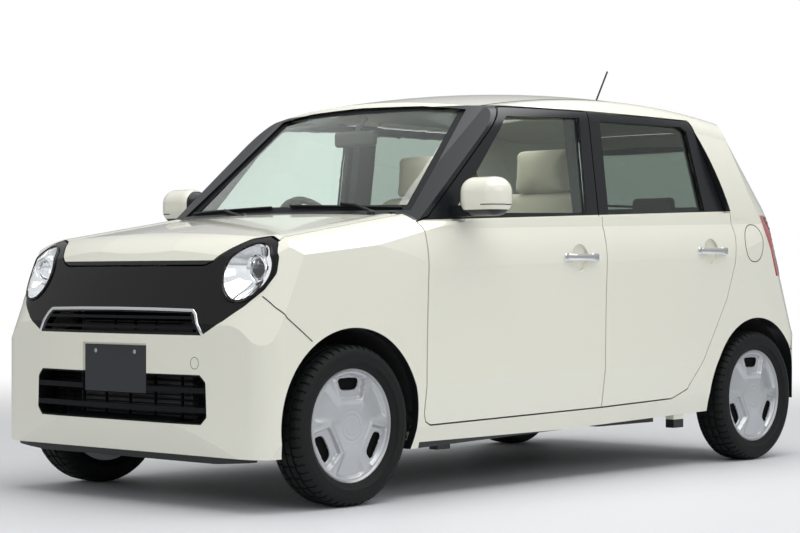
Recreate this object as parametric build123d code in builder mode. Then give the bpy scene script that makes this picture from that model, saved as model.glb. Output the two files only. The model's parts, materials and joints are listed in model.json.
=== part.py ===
import os
from math import cos, radians, sin

from build123d import *

os.makedirs("parts", exist_ok=True)

# Overall sizes of the car
length = 3395.0
wheelbase = 2520.0
track = 1305.0
front_axle_x = 1230.0
rear_axle_x = front_axle_x - wheelbase
hub_z = 278.0
nose_x = length / 2
tail_x = -length / 2

# Walls, panel gaps and glass
door_wall = 55.0
cabin_wall = 38.0
front_wall = 30.0
gap = 6.0
glass_set = 12.0
glass_thickness = 5.0

# Body surfaces
crease_rise = 0.028
hood_rise = 0.155
nose_lean = 0.40
nose_pivot_z = 640.0
dome_radius = 2450.0
tail_lean = 0.40
tail_pivot_z = 790.0
corner_lean = 1.0
corner_pivot_z = 1100.0
corner_x = -1069.0
corner_y = -60.0
corner_radius = 800.0
screen_rake = 1.19
screen_base_x = 955.0
screen_base_z = 1019.0
screen_bow = 109.0
screen_half = 560.0
roof_top_z = 1556.0
roof_radius = 5200.0
roof_top_x = -500.0
firewall_x = 866.0
waist_clip = [(2000, 50), (2000, 1300), (850, 1300), (850, 987), (-1950, 1098), (-1950, 50)]
arch_radius = 336.0
arch_inner_y = 395.0

# Door handles, middle in x and z
handle_front = (-22.0, 866.0)
handle_rear = (-925.0, 900.0)
handle_length = 210.0
cup_radius = 52.0

# Hood hinge line
hood_pin_x = 885.0
hood_pin_z = 1007.0

# Jacking pads and plate screws
jack_points_x = (720.0, -760.0)
plate_screw_z = 530.0
plate_screw_radius = 3.25

# Steering and seats
kingpin_y = 630.0
steering_hub = (385.0, -330.0, 945.0)
steering_tilt = 25.0
seat_y = 330.0

# Wheels
tyre_radius = 278.0
rim_radius = 178.0
wheel_y = track / 2
wheels = {
    "front_left": (front_axle_x, 1),
    "front_right": (front_axle_x, -1),
    "rear_left": (rear_axle_x, 1),
    "rear_right": (rear_axle_x, -1),
}


def prism(kind, points, low, high, grow=0.0, radius=0.0):
    """Outline drawn in side, front or plan view and run straight through."""
    planes = {
        "side": Plane(origin=(0, low, 0), x_dir=(1, 0, 0), z_dir=(0, -1, 0)),
        "front": Plane(origin=(low, 0, 0), x_dir=(0, 1, 0), z_dir=(1, 0, 0)),
        "plan": Plane(origin=(0, 0, low), x_dir=(1, 0, 0), z_dir=(0, 0, 1)),
    }
    with BuildPart() as block:
        with BuildSketch(planes[kind]) as view:
            with BuildLine():
                Polyline(*points, close=True)
            make_face()
            if radius:
                fillet(view.vertices(), radius)
            if grow:
                offset(amount=grow, kind=Kind.INTERSECTION, mode=Mode.REPLACE)
        extrude(amount=(low - high) if kind == "side" else (high - low))
    return block.part


def lower_body(inset):
    """Body below the waist: section run, plan outline, nose, tail and hood surfaces."""
    with BuildPart() as body:
        run = Vector(-1, 0, crease_rise).normalized()
        with BuildSketch(Plane(origin=(1900, 0, -crease_rise * 1900), x_dir=(0, 1, 0),
            z_dir=(1, 0, 0))) as section:
            with BuildLine():
                Polyline((-706, 1150), (-714, 985))
                ThreePointArc((-714, 985), (-731, 915), (-737, 847))
                ThreePointArc((-737, 847), (-730, 640), (-727, 424))
                Polyline((-727, 424), (-708, 277), (-676, 150), (676, 150), (708, 277), (727, 424))
                ThreePointArc((727, 424), (730, 640), (737, 847))
                ThreePointArc((737, 847), (731, 915), (714, 985))
                Polyline((714, 985), (706, 1150), (-706, 1150))
            make_face()
            if inset:
                offset(amount=-inset, kind=Kind.INTERSECTION, mode=Mode.REPLACE)
        extrude(amount=3900, dir=run)
        add(leaning_tail(inset), mode=Mode.INTERSECT)
        front, back = 1637 - inset, -1677 + inset
        with BuildSketch(Plane.XY.offset(100)) as plan:
            with BuildLine():
                ThreePointArc((front, -704 + inset), (nose_x - inset, 0), (front, 704 - inset))
                ThreePointArc((front, 704 - inset), (0, 752 - inset), (back, 717 - inset))
                ThreePointArc((back, 717 - inset), (tail_x + inset, 0), (back, -717 + inset))
                ThreePointArc((back, -717 + inset), (0, -752 + inset), (front, -704 + inset))
            make_face()
            fillet(plan.vertices().group_by(Axis.X)[-1], 95 - inset)
            fillet(plan.vertices().group_by(Axis.X)[0], 150 - inset)
        extrude(amount=1300, mode=Mode.INTERSECT)
        add(leaning_nose(inset), mode=Mode.INTERSECT)
        add(nose_dome(inset), mode=Mode.INTERSECT)
        hood_run = Vector(-1, 0, hood_rise).normalized()
        with BuildSketch(Plane(origin=(1800, 0, -hood_rise * 600 - inset), x_dir=(0, 1, 0),
            z_dir=(1, 0, 0))):
            with BuildLine():
                ThreePointArc((520, 970), (0, 990), (-520, 970))
                ThreePointArc((-520, 970), (-655, 948), (-742, 868))
                Polyline((-742, 868), (-800, 700), (-800, -300), (800, -300), (800, 700), (742, 868))
                ThreePointArc((742, 868), (655, 948), (520, 970))
            make_face()
        extrude(amount=3800, dir=hood_run, mode=Mode.INTERSECT)
        with BuildSketch(Plane(origin=(0, -900, 0), x_dir=(1, 0, 0), z_dir=(0, -1, 0))):
            with BuildLine():
                Polyline((1628, 842), (1725, 640), (1700, 330), (1655, 183), (914, 177),
                    (-860, 223), (-1560, 240),
                         (-1666, 262), (-1700, 385), (-1900, 700), (-1900, 1484), (1440, 952))
                ThreePointArc((1440, 952), (1572, 902), (1628, 842))
            make_face()
            if inset:
                offset(amount=-inset, kind=Kind.INTERSECTION, mode=Mode.REPLACE)
        extrude(amount=-1800, mode=Mode.INTERSECT)
        add(prism("side", waist_clip, -900, 900), mode=Mode.INTERSECT)
        if not inset:
            add(tail_corners(0), mode=Mode.INTERSECT)
    return body.part


def leaning_nose(inset):
    """Round nose outline that leans back above its pivot height."""
    start = 500.0
    with BuildPart() as block:
        lean = Vector(-nose_lean, 0, 1).normalized()
        with BuildSketch(Plane(origin=(nose_lean * start, 0, nose_pivot_z - start))) as outline:
            with BuildLine():
                ThreePointArc((1622, -735), (nose_x, 0), (1622, 735))
                Polyline((1622, 735), (1300, 775), (-3000, 775), (-3000, -775), (1300, -775),
                    (1622, -735))
            make_face()
            fillet(outline.vertices().group_by(Axis.X)[-1], 250)
            if inset:
                offset(amount=-inset * 1.08, mode=Mode.REPLACE)
        extrude(amount=1500, dir=lean)
    return block.part


def nose_dome(inset):
    """Rounded leading edge of the hood, turned about an upright axis, with all behind it."""
    upright = Axis((nose_x - dome_radius, 0, 0), (0, 0, 1))
    with BuildPart() as turned:
        with BuildSketch(Plane(origin=(-inset, 0, -inset), x_dir=(1, 0, 0), z_dir=(0, -1, 0))):
            with BuildLine():
                Polyline((1440, 952), (400, 1400), (400, 60), (1790, 60), (1760, 640), (1650, 820))
                ThreePointArc((1650, 820), (1577, 904), (1440, 952))
            make_face()
        revolve(axis=upright, revolution_arc=48)
    with BuildPart() as dome:
        add(turned.part.rotate(upright, -24))
        with Locations((-900, 0, 700)):
            Box(3600, 2000, 1700)
    return dome.part


def leaning_tail(inset):
    """Tail outline that leans forward above its pivot height."""
    start = 800.0
    with BuildPart() as block:
        lean = Vector(tail_lean, 0, 1).normalized()
        with BuildSketch(Plane(origin=(-tail_lean * start, 0, tail_pivot_z - start))) as outline:
            with BuildLine():
                ThreePointArc((-1652, 733), (tail_x, 0), (-1652, -733))
                Polyline((-1652, -733), (-900, -765), (3000, -775), (3000, 775), (-900, 765),
                    (-1652, 733))
            make_face()
            fillet(outline.vertices().group_by(Axis.X)[0], 340)
            if inset:
                offset(amount=-inset * 1.15, mode=Mode.REPLACE)
        extrude(amount=1800, dir=lean)
    return block.part


def tail_corners(inset):
    """Large round rear corners that lean forward more than the tail between them."""
    start = 1000.0
    reach = corner_radius - 1.15 * inset
    side_y = corner_y + reach
    point_x = corner_x - (reach**2 - corner_y**2) ** 0.5
    bend = (corner_x - 0.6 * reach, corner_y + 0.8 * reach)
    with BuildPart() as block:
        lean = Vector(corner_lean, 0, 1).normalized()
        with BuildSketch(Plane(origin=(-corner_lean * start, 0, corner_pivot_z - start))):
            with BuildLine():
                ThreePointArc((point_x, 0), bend, (corner_x, side_y))
                Polyline((corner_x, side_y), (3000, side_y), (3000, -side_y), (corner_x, -side_y))
                ThreePointArc((corner_x, -side_y), (bend[0], -bend[1]), (point_x, 0))
            make_face()
        extrude(amount=2600, dir=lean)
    return block.part


def cabin_body(inset, wide=False):
    """Body above the waist: turned roof, raked screen and tail; wide has no ledge at the waist."""
    swing = 24.0
    centre = roof_top_z - roof_radius
    with BuildPart() as body:
        tilt = Plane(
            origin=(roof_top_x, 0, centre),
            x_dir=(0, 1, 0),
            z_dir=(cos(radians(swing)), 0, -sin(radians(swing))),
        )
        edge = (545 - 0.3 * inset, 1509 - inset - centre)
        bend = (618 - 0.75 * inset, 1476 - 0.72 * inset - centre)
        rail = (645 - inset, 1420 - 0.2 * inset - centre)
        waist = (706 - inset, 950 - centre)
        foot = (706 - inset, 700 - centre)
        with BuildSketch(tilt):
            with BuildLine():
                ThreePointArc(edge, (0, roof_top_z - inset - centre), (-edge[0], edge[1]))
                ThreePointArc((-edge[0], edge[1]), (-bend[0], bend[1]), (-rail[0], rail[1]))
                if wide:
                    ThreePointArc((-rail[0], rail[1]), (-693, 1262 - centre), (-714, 1060 - centre))
                    Polyline((-714, 1060 - centre), (-714, 700 - centre), (714, 700 - centre),
                        (714, 1060 - centre))
                    ThreePointArc((714, 1060 - centre), (693, 1262 - centre), rail)
                else:
                    Polyline((-rail[0], rail[1]), (-waist[0], waist[1]), (-foot[0], foot[1]),
                        foot, waist, rail)
                ThreePointArc(rail, bend, edge)
            make_face()
        revolve(axis=Axis((roof_top_x, 0, centre), (0, 1, 0)), revolution_arc=-2 * swing)
        rake = Vector(-screen_rake, 0, 1).normalized()
        start = 200.0
        with BuildSketch(Plane(origin=(screen_rake * start - inset * 1.555, 0, screen_base_z - start))):
            with BuildLine():
                bend_x = screen_base_x - screen_bow
                ThreePointArc((bend_x, -screen_half), (screen_base_x, 0), (bend_x, screen_half))
                Polyline((bend_x, screen_half), (bend_x - 56, 800), (-3000, 800), (-3000, -800),
                    (bend_x - 56, -800),
                         (bend_x, -screen_half))
            make_face()
        extrude(amount=1600, dir=rake, mode=Mode.INTERSECT)
        add(leaning_tail(inset), mode=Mode.INTERSECT)
        with BuildSketch(Plane(origin=(inset * 0.7, -900, -inset * 0.7), x_dir=(1, 0, 0),
            z_dir=(0, -1, 0))):
            with BuildLine():
                Polyline((-1450, 1370), (-1700, 1250), (-1700, 930), (1300, 930), (1300, 1700),
                    (-1000, 1700), (-1000, 1560),
                         (-1230, 1517))
                ThreePointArc((-1230, 1517), (-1370, 1470), (-1450, 1370))
            make_face()
        extrude(amount=-1800, mode=Mode.INTERSECT)
        add(tail_corners(inset), mode=Mode.INTERSECT)
    return body.part


def both_sides(points):
    """Half outline from the middle outwards, closed by its mirror image."""
    return points + [(-y, z) for y, z in reversed(points) if y]


def write(piece, node):
    """Label one finished piece and write its file."""
    piece.label = node
    export_step(piece, f"parts/{node}.step")


# Outlines of the panels, in millimetres
front_door_view = [(862, 300), (850, 272), (822, 259), (-195, 276), (-195, 1448), (290, 1441),
    (310, 1434), (800, 1006), (862, 988)]
quarter_view = [(-1098, 1040), (-1096, 1075), (-906, 1450), (-906, 1650), (-1900, 1650), (-1900, 1040)]
rear_door_view = [(-195, 276), (-676, 290), (-780, 325), (-868, 425), (-960, 560), (-1050, 700),
    (-1105, 850), (-1118, 960),
                  (-1096, 1075), (-906, 1450), (-195, 1448)]
front_glass_view = [(660, 1024), (318, 1388), (296, 1402), (-135, 1418), (-125, 1042)]
rear_glass_view = [(-262, 1040), (-268, 1412), (-830, 1420), (-872, 1400), (-945, 1067)]
screen_view = both_sides([(0, 1458), (300, 1451), (498, 1430), (610, 1032)])
fender_view = [(868, 150), (1230, 150), (1230, 500), (1428, 565), (1580, 722), (1720, 862),
    (1720, 1150), (868, 1150)]
bumper_view = [(1230, 100), (1230, 500), (1428, 565), (1580, 722), (1720, 862), (1800, 862), (1800, 100)]
rear_bumper_view = [(-1290, 100), (-1290, 480), (-1566, 470), (-1640, 566), (-1800, 566), (-1800, 100)]
mask_view = both_sides([(434, 592), (520, 640), (590, 690), (640, 745), (662, 800), (655, 860),
    (620, 905), (560, 925),
                        (500, 915), (450, 880), (400, 838), (370, 826)])
hood_plan = [(895, -609), (935, -450), (962, -300), (980, -120), (980, 120), (962, 300), (935, 450),
    (895, 609), (1760, 609), (1760, -609)]
cowl_plan = [(845, -612), (845, 612), (888, 612), (927, 450), (954, 300), (972, 120), (972, -120),
    (954, -300), (927, -450), (888, -612)]
roof_plan = [(470, -500), (470, 500), (330, 526), (-1440, 526), (-1440, -526), (330, -526)]
tailgate_view = both_sides([(0, 572), (600, 572), (606, 700), (600, 770), (548, 790), (545, 1062),
    (535, 1300), (505, 1420), (440, 1436),
                            (0, 1440)])
tailgate_glass_view = both_sides([(0, 1086), (470, 1094), (462, 1250), (425, 1375), (0, 1388)])
door_post_view = [(600, 232), (645, 232), (645, 950), (640, 1050), (612, 1250), (590, 1430),
    (575, 1520), (535, 1520), (550, 1430),
                  (572, 1250), (600, 1050), (605, 950)]
door_limit_view = [(600, 200), (640, 900), (628, 1030), (575, 1440), (560, 1500), (900, 1500),
    (900, 200)]
tail_lamp_view = [(552, 796), (900, 796), (900, 1060), (552, 1060)]
tail_lamp_side = [(-1335, 1060), (-1440, 796), (-1900, 796), (-1900, 1060)]
upper_grille_view = both_sides([(0, 600), (412, 602), (372, 666), (0, 670)])
lower_grille_view = both_sides([(0, 290), (430, 290), (455, 315), (450, 435), (425, 458), (0, 458)])
lamp_centre = (546, 801)
lamp_radii = (84, 99)

# Whole outer body, its hollows and the shell between them
lower_outer = lower_body(0)
cabin_outer = cabin_body(0)
quarter_outer = cabin_body(0, wide=True) & prism("side", quarter_view, -900, 900)
lower_hollow = lower_body(door_wall)
bay_hollow = lower_body(front_wall)
cabin_hollow = cabin_body(cabin_wall)

with BuildPart() as cabin_space:
    add(lower_hollow)
    add(prism("plan", [(firewall_x, -800), (firewall_x, 800), (-1640, 800),
        (-1640, -800)], 100, 1300), mode=Mode.INTERSECT)
    add(cabin_hollow)

with BuildPart() as bay_space:
    add(bay_hollow)
    add(prism("plan", [(firewall_x, -800), (firewall_x, 800), (1700, 800),
        (1700, -800)], 100, 1300), mode=Mode.INTERSECT)

with BuildPart() as arch_spaces:
    for axle_x in (front_axle_x, rear_axle_x):
        for side in (1, -1):
            with Locations(Location((axle_x, side * (arch_inner_y + 250), hub_z), (90, 0, 0))):
                Cylinder(arch_radius, 500)

with BuildPart() as shell:
    add(lower_outer)
    add(cabin_outer)
    add(quarter_outer)
    add(cabin_space.part, mode=Mode.SUBTRACT)
    add(bay_space.part, mode=Mode.SUBTRACT)
    add(prism("plan", [(-1560, -632), (-1560, 632), (1590, 632), (1590, -632)], 100, 300),
        mode=Mode.SUBTRACT)
    add(arch_spaces.part, mode=Mode.SUBTRACT)

with BuildPart() as left_half:
    Box(4000, 1000, 2000, align=(Align.CENTER, Align.MIN, Align.MIN))

lamp_plane = Plane(origin=(1350, 0, 0), x_dir=(0, 1, 0), z_dir=(1, 0, 0))
with BuildPart() as lamp_holes:
    with BuildSketch(lamp_plane):
        with Locations((lamp_centre[0], lamp_centre[1]), (-lamp_centre[0], lamp_centre[1])):
            Ellipse(*lamp_radii)
    extrude(amount=450)

mask_block = prism("front", mask_view, 1380, 1780, 0, 40)
hood_block = prism("plan", hood_plan, 780, 1150)
cowl_block = prism("plan", cowl_plan, 925, 1075)
roof_block = prism("plan", roof_plan, 1446, 1650)
screen_block = prism("front", screen_view, 60, 1150)
tailgate_block = prism("front", tailgate_view, -1800, -1345)
tailgate_room = prism("front", tailgate_view, -1800, -1345, gap)
tail_lamp_left = prism("front", tail_lamp_view, -1800, -1200) & prism("side", tail_lamp_side, 0, 900)
upper_grille_block = prism("front", upper_grille_view, 1500, 1800)
lower_grille_block = prism("front", lower_grille_view, 1500, 1800)
bumper_block = prism("side", bumper_view, -900, 900)
rear_bumper_block = prism("side", rear_bumper_view, -900, 900)
fender_block = prism("side", fender_view, 560, 900)
plate_pocket = prism("front", [(-172, 384), (172, 384), (172, 560), (-172, 560)], 1686, 1800)

# Front end
with BuildPart() as front_bumper:
    add(shell.part)
    add(bumper_block, mode=Mode.INTERSECT)
    add(mask_block, mode=Mode.SUBTRACT)
    add(lower_grille_block, mode=Mode.SUBTRACT)
    add(plate_pocket, mode=Mode.SUBTRACT)
    with Locations(*[Location((1680, y, plate_screw_z), (0, 90, 0)) for y in (-105, 105)]):
        Cylinder(plate_screw_radius, 40, mode=Mode.SUBTRACT)
write(front_bumper.part, "front_bumper")

with BuildPart() as grille_mask:
    add(shell.part)
    add(mask_block, mode=Mode.INTERSECT)
    add(upper_grille_block, mode=Mode.SUBTRACT)
    add(lamp_holes.part, mode=Mode.SUBTRACT)
write(grille_mask.part, "grille_mask")

with BuildPart() as headlamp_left:
    with BuildSketch(lamp_plane):
        with Locations(lamp_centre):
            Ellipse(*lamp_radii)
    extrude(amount=450)
    add(lower_outer, mode=Mode.INTERSECT)
    add(bay_hollow, mode=Mode.SUBTRACT)
with BuildPart() as headlamps:
    add(headlamp_left.part)
    mirror(about=Plane.XZ)
write(headlamps.part, "headlamps")

grille_bars = [(612, 622, 412), (646, 656, 412), (330, 348, 470), (396, 414, 470)]
with BuildPart() as bars:
    for low, high, half in grille_bars:
        with Locations((1650, 0, (low + high) / 2)):
            Box(300, 2 * half, high - low)
with BuildPart() as front_grilles:
    add(shell.part)
    add(bars.part, mode=Mode.INTERSECT)
    add(upper_grille_block + lower_grille_block, mode=Mode.INTERSECT)
    add(plate_pocket, mode=Mode.SUBTRACT)
write(front_grilles.part, "front_grilles")

with BuildPart() as front_plate:
    with Locations((1687.5, 0, 470.5)):
        Box(3, 330, 165)
    with Locations(*[Location((1687.5, y, plate_screw_z), (0, 90, 0)) for y in (-105, 105)]):
        Cylinder(plate_screw_radius, 10, mode=Mode.SUBTRACT)
write(front_plate.part, "front_plate")

with BuildPart() as hood:
    add(shell.part)
    add(hood_block, mode=Mode.INTERSECT)
    add(prism("front", mask_view, 1300, 1780, gap, 40), mode=Mode.SUBTRACT)
    for side in (1, -1):
        with Locations((900, side * 570, 1006.5)):
            Box(42, 20, 11)
        with Locations(Location((hood_pin_x, side * 570, hood_pin_z), (90, 0, 0))):
            Cylinder(4.3, 60, mode=Mode.SUBTRACT)
write(hood.part, "hood")

with BuildPart() as cowl:
    add(shell.part)
    add(cowl_block, mode=Mode.INTERSECT)
    add(screen_block, mode=Mode.SUBTRACT)
    for side in (1, -1):
        with Locations((885, side * 570, 1006)):
            Box(34, 32, 60, mode=Mode.SUBTRACT)
        with Locations(Location((hood_pin_x, side * 570, hood_pin_z), (90, 0, 0))):
            Cylinder(4, 38)
write(cowl.part, "cowl")

hood_room = prism("plan", hood_plan, 780, 1150, gap)
with BuildPart() as fender_left:
    add(shell.part)
    add(fender_block, mode=Mode.INTERSECT)
    add(mask_block, mode=Mode.SUBTRACT)
    add(hood_room, mode=Mode.SUBTRACT)
    add(cowl_block, mode=Mode.SUBTRACT)
    with Locations((900, 570, 1006)):
        Box(60, 36, 40, mode=Mode.SUBTRACT)
with BuildPart() as fenders:
    add(fender_left.part)
    mirror(about=Plane.XZ)
write(fenders.part, "fenders")

# Rear end
with BuildPart() as rear_bumper:
    add(shell.part)
    add(rear_bumper_block, mode=Mode.INTERSECT)
write(rear_bumper.part, "rear_bumper")

with BuildPart() as tail_lamp:
    add(shell.part)
    add(tail_lamp_left, mode=Mode.INTERSECT)
with BuildPart() as tail_lamps:
    add(tail_lamp.part)
    mirror(about=Plane.XZ)
write(tail_lamps.part, "tail_lamps")

rear_window_block = prism("front", tailgate_glass_view, -1800, -1300)
with BuildPart() as tailgate:
    add(shell.part)
    add(tailgate_block, mode=Mode.INTERSECT)
    add(rear_window_block, mode=Mode.SUBTRACT)
write(tailgate.part, "tailgate")

# Roof, side frames and doors
with BuildPart() as roof_panel:
    add(shell.part)
    add(roof_block, mode=Mode.INTERSECT)
    add(screen_block, mode=Mode.SUBTRACT)
write(roof_panel.part, "roof_panel")

door_limit = prism("front", door_limit_view, -1300, 900)
front_door_block = prism("side", front_door_view, 500, 900, -gap / 2) & door_limit
rear_door_block = prism("side", rear_door_view, 500, 900, -gap / 2) & door_limit
front_door_room = prism("side", front_door_view, 500, 900, gap / 2) & door_limit
rear_door_room = prism("side", rear_door_view, 500, 900, gap / 2) & door_limit
front_glass_block = prism("side", front_glass_view, 300, 900)
rear_glass_block = prism("side", rear_glass_view, 300, 900)

with BuildPart() as post_blank:
    add(prism("front", door_post_view, -245, -145))
    add(cabin_space.part, mode=Mode.INTERSECT)
door_post = post_blank.part

with BuildPart() as side_frame_left:
    add(shell.part)
    add(left_half.part, mode=Mode.INTERSECT)
    for cutter in (front_door_room, rear_door_room, fender_block, hood_room, cowl_block, roof_block,
        tailgate_room,
                   mask_block, bumper_block, rear_bumper_block, tail_lamp_left, screen_block):
        add(cutter, mode=Mode.SUBTRACT)
    add(side_frame_left.part.solids().sort_by(SortBy.VOLUME)[-1], mode=Mode.REPLACE)
    add(door_post)
    for jack_x in jack_points_x:
        with Locations((jack_x, 662, 195)):
            Box(70, 40, 60)

with BuildPart() as front_door_left:
    add(shell.part)
    add(front_door_block, mode=Mode.INTERSECT)
    add(front_glass_block, mode=Mode.SUBTRACT)
    with Locations(Location((handle_front[0], 722 + 50, handle_front[1]), (90, 0, 0))):
        Cylinder(cup_radius, 100, mode=Mode.SUBTRACT)

with BuildPart() as rear_door_left:
    add(shell.part)
    add(rear_door_block, mode=Mode.INTERSECT)
    add(rear_glass_block, mode=Mode.SUBTRACT)
    with Locations(Location((handle_rear[0], 720 + 50, handle_rear[1]), (90, 0, 0))):
        Cylinder(cup_radius, 100, mode=Mode.SUBTRACT)

# Glass, a thin layer set in from the cabin's outer face
with BuildPart() as glass_layer:
    add(cabin_body(glass_set))
    add(cabin_body(glass_set + glass_thickness), mode=Mode.SUBTRACT)

with BuildPart() as windshield:
    add(glass_layer.part)
    add(screen_block, mode=Mode.INTERSECT)
write(windshield.part, "windshield")

with BuildPart() as tailgate_glass:
    add(glass_layer.part)
    add(rear_window_block, mode=Mode.INTERSECT)
write(tailgate_glass.part, "tailgate_glass")

with BuildPart() as front_glass_left:
    add(glass_layer.part)
    add(front_glass_block, mode=Mode.INTERSECT)

with BuildPart() as rear_glass_left:
    add(glass_layer.part)
    add(rear_glass_block, mode=Mode.INTERSECT)

for piece, node in (
    (side_frame_left, "side_frame"),
    (front_door_left, "front_door"),
    (rear_door_left, "rear_door"),
    (front_glass_left, "front_door_glass"),
    (rear_glass_left, "rear_door_glass"),
):
    write(piece.part, f"{node}_left")
    with BuildPart() as twin:
        mirror(piece.part, about=Plane.XZ)
    write(twin.part, f"{node}_right")

# Floor with its dash wall, seat step and raised boot
with BuildPart() as floor_pan:
    for low_x, high_x, low_z, high_z in (
        (836, 862, 192, 925),
        (300, 862, 192, 232),
        (300, 330, 192, 330),
        (-300, 330, 300, 330),
        (-300, -270, 192, 330),
        (-650, -270, 192, 232),
        (-650, -620, 192, 440),
        (-1560, -620, 410, 440),
    ):
        with Locations(((low_x + high_x) / 2, 0, (low_z + high_z) / 2)):
            Box(high_x - low_x, 1264, high_z - low_z)
    with Locations(*[Location((rear_axle_x, side * 640, hub_z), (90, 0, 0)) for side in (1, -1)]):
        Cylinder(345, 500, mode=Mode.SUBTRACT)
    add(door_post, mode=Mode.SUBTRACT)
    add(door_post.mirror(Plane.XZ), mode=Mode.SUBTRACT)
write(floor_pan.part, "floor_pan")

with BuildPart() as rear_liner:
    with Locations(Location((rear_axle_x, 550, hub_z), (90, 0, 0))):
        Cylinder(arch_radius + 5, 320)
        Cylinder(arch_radius, 400, mode=Mode.SUBTRACT)
    with Locations(Location((rear_axle_x, 392.5, hub_z), (90, 0, 0))):
        Cylinder(arch_radius + 5, 5)
    add(cabin_space.part, mode=Mode.INTERSECT)
    add(prism("side", [(-1700, 310), (-900, 310), (-900, 700), (-1700, 700)], 300, 900),
        mode=Mode.INTERSECT)
with BuildPart() as front_liner:
    with Locations(Location((front_axle_x, 550, hub_z), (90, 0, 0))):
        Cylinder(arch_radius + 5, 320)
        Cylinder(arch_radius, 400, mode=Mode.SUBTRACT)
    with Locations(Location((front_axle_x, 392.5, hub_z), (90, 0, 0))):
        Cylinder(arch_radius + 5, 5)
    add(bay_space.part, mode=Mode.INTERSECT)
    add(prism("side", [(870, 310), (1600, 310), (1600, 700), (870, 700)], 300, 900), mode=Mode.INTERSECT)
with BuildPart() as arch_liners:
    add(front_liner.part)
    add(rear_liner.part)
    mirror(about=Plane.XZ)
write(arch_liners.part, "arch_liners")

# Engine, radiator, tank and exhaust
with BuildPart() as engine_block:
    with Locations((1190, 0, 500)):
        Box(440, 600, 530)
write(engine_block.part, "engine_block")

with BuildPart() as radiator:
    with Locations((1577, 0, 435)):
        Box(34, 600, 400)
write(radiator.part, "radiator")

with BuildPart() as fuel_tank:
    with Locations((15, 0, 235)):
        Box(500, 600, 130)
write(fuel_tank.part, "fuel_tank")

with BuildPart() as exhaust:
    with Locations(Location((-345, -350, 172), (0, 90, 0))):
        Cylinder(20, 2090)
    with Locations((-1465, -160, 225)):
        Box(150, 400, 130)
write(exhaust.part, "exhaust")

# Front subframe, lower arms and struts
with BuildPart() as struts:
    with Locations(*[(front_axle_x, side * 500, 525) for side in (1, -1)]):
        Cylinder(24, 250)
    add(arch_spaces.part, mode=Mode.INTERSECT)
with BuildPart() as front_suspension:
    with Locations((1131, 0, 215)):
        Box(538, 640, 40)
    with Locations(*[(1476, side * 250, 215) for side in (1, -1)]):
        Box(220, 50, 40)
    for side in (1, -1):
        with Locations((front_axle_x, side * 475, 172.5)):
            Box(60, 350, 25)
        with Locations((front_axle_x - 60, side * 330, 190)):
            Box(180, 60, 50)
        with Locations((front_axle_x, side * kingpin_y, 197)):
            Cylinder(10, 24)
    add(struts.part)
write(front_suspension.part, "front_suspension")

with BuildPart() as dampers:
    with Locations(*[(rear_axle_x + 20, side * 460, 460) for side in (1, -1)]):
        Cylinder(22, 380)
    add(arch_spaces.part, mode=Mode.INTERSECT)
with BuildPart() as rear_axle:
    with Locations((-1015, 0, 277)):
        Box(50, 960, 34)
    for side in (1, -1):
        with Locations((-1055, side * 495, 277)):
            Box(470, 50, 45)
        with Locations((-845, side * 495, 332)):
            Box(50, 50, 156)
        with Locations(Location((rear_axle_x, side * 545, hub_z), (90, 0, 0))):
            Cylinder(50, 50)
        with Locations(Location((rear_axle_x, side * 594, hub_z), (90, 0, 0))):
            Cylinder(20, 148)
    add(dampers.part)
write(rear_axle.part, "rear_axle")

for side, name in ((1, "left"), (-1, "right")):
    with BuildPart() as knuckle:
        with Locations(Location((front_axle_x, side * 580, hub_z), (90, 0, 0))):
            Cylinder(55, 40)
        with Locations(Location((front_axle_x, side * 634, hub_z), (90, 0, 0))):
            Cylinder(20, 68)
        with Locations((front_axle_x, side * 570, 345)):
            Box(36, 40, 94)
        with Locations((front_axle_x, side * 580, 229)):
            Box(36, 40, 74)
        with Locations((front_axle_x, side * 606, 201.5)):
            Box(36, 92, 19)
        with Locations((front_axle_x, side * kingpin_y, 201.5)):
            Cylinder(10.3, 40, mode=Mode.SUBTRACT)
        with Locations((front_axle_x - 70, side * 575, 280)):
            Box(130, 26, 22)
    write(knuckle.part, f"knuckle_{name}")

# Wheels and tyres
tyre_line = [(rim_radius, 55), (196, 56), (214, 70), (232, 77.5), (250, 76), (266, 68), (275, 56),
    (tyre_radius, 40)]
wheel_line = [(0, 20), (20.3, 20), (20.3, -12), (60, -12), (60, 42), (168, 42), (168, -56),
    (rim_radius, -56), (rim_radius, 57),
              (193, 57), (193, 60), (182, 61.5), (168, 59), (150, 52), (90, 55), (60, 58), (0, 58)]
for corner, (axle_x, side) in wheels.items():
    hub_plane = Plane(origin=(axle_x, side * wheel_y, hub_z), x_dir=(1, 0, 0), z_dir=(0, 0, 1))
    with BuildPart() as tyre:
        with BuildSketch(hub_plane):
            with BuildLine():
                Polyline(*[(r, side * w) for r, w in tyre_line],
                    *[(r, -side * w) for r, w in reversed(tyre_line)], close=True)
            make_face()
        revolve(axis=Axis((axle_x, side * wheel_y, hub_z), (0, 1, 0)))
    write(tyre.part, f"tyre_{corner}")
    with BuildPart() as wheel:
        with BuildSketch(hub_plane):
            with BuildLine():
                Polyline(*[(r, side * w) for r, w in wheel_line], close=True)
            make_face()
        revolve(axis=Axis((axle_x, side * wheel_y, hub_z), (0, 1, 0)))
        with BuildSketch(Plane(origin=(axle_x, side * (wheel_y + 30), hub_z), x_dir=(1, 0, 0),
            z_dir=(0, side, 0))):
            with PolarLocations(0, 3, start_angle=270):
                Polygon((100, -40), (150, -62), (160, 0), (150, 62), (100, 40), align=None)
        extrude(amount=60, mode=Mode.SUBTRACT)
    write(wheel.part, f"wheel_{corner}")

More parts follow.
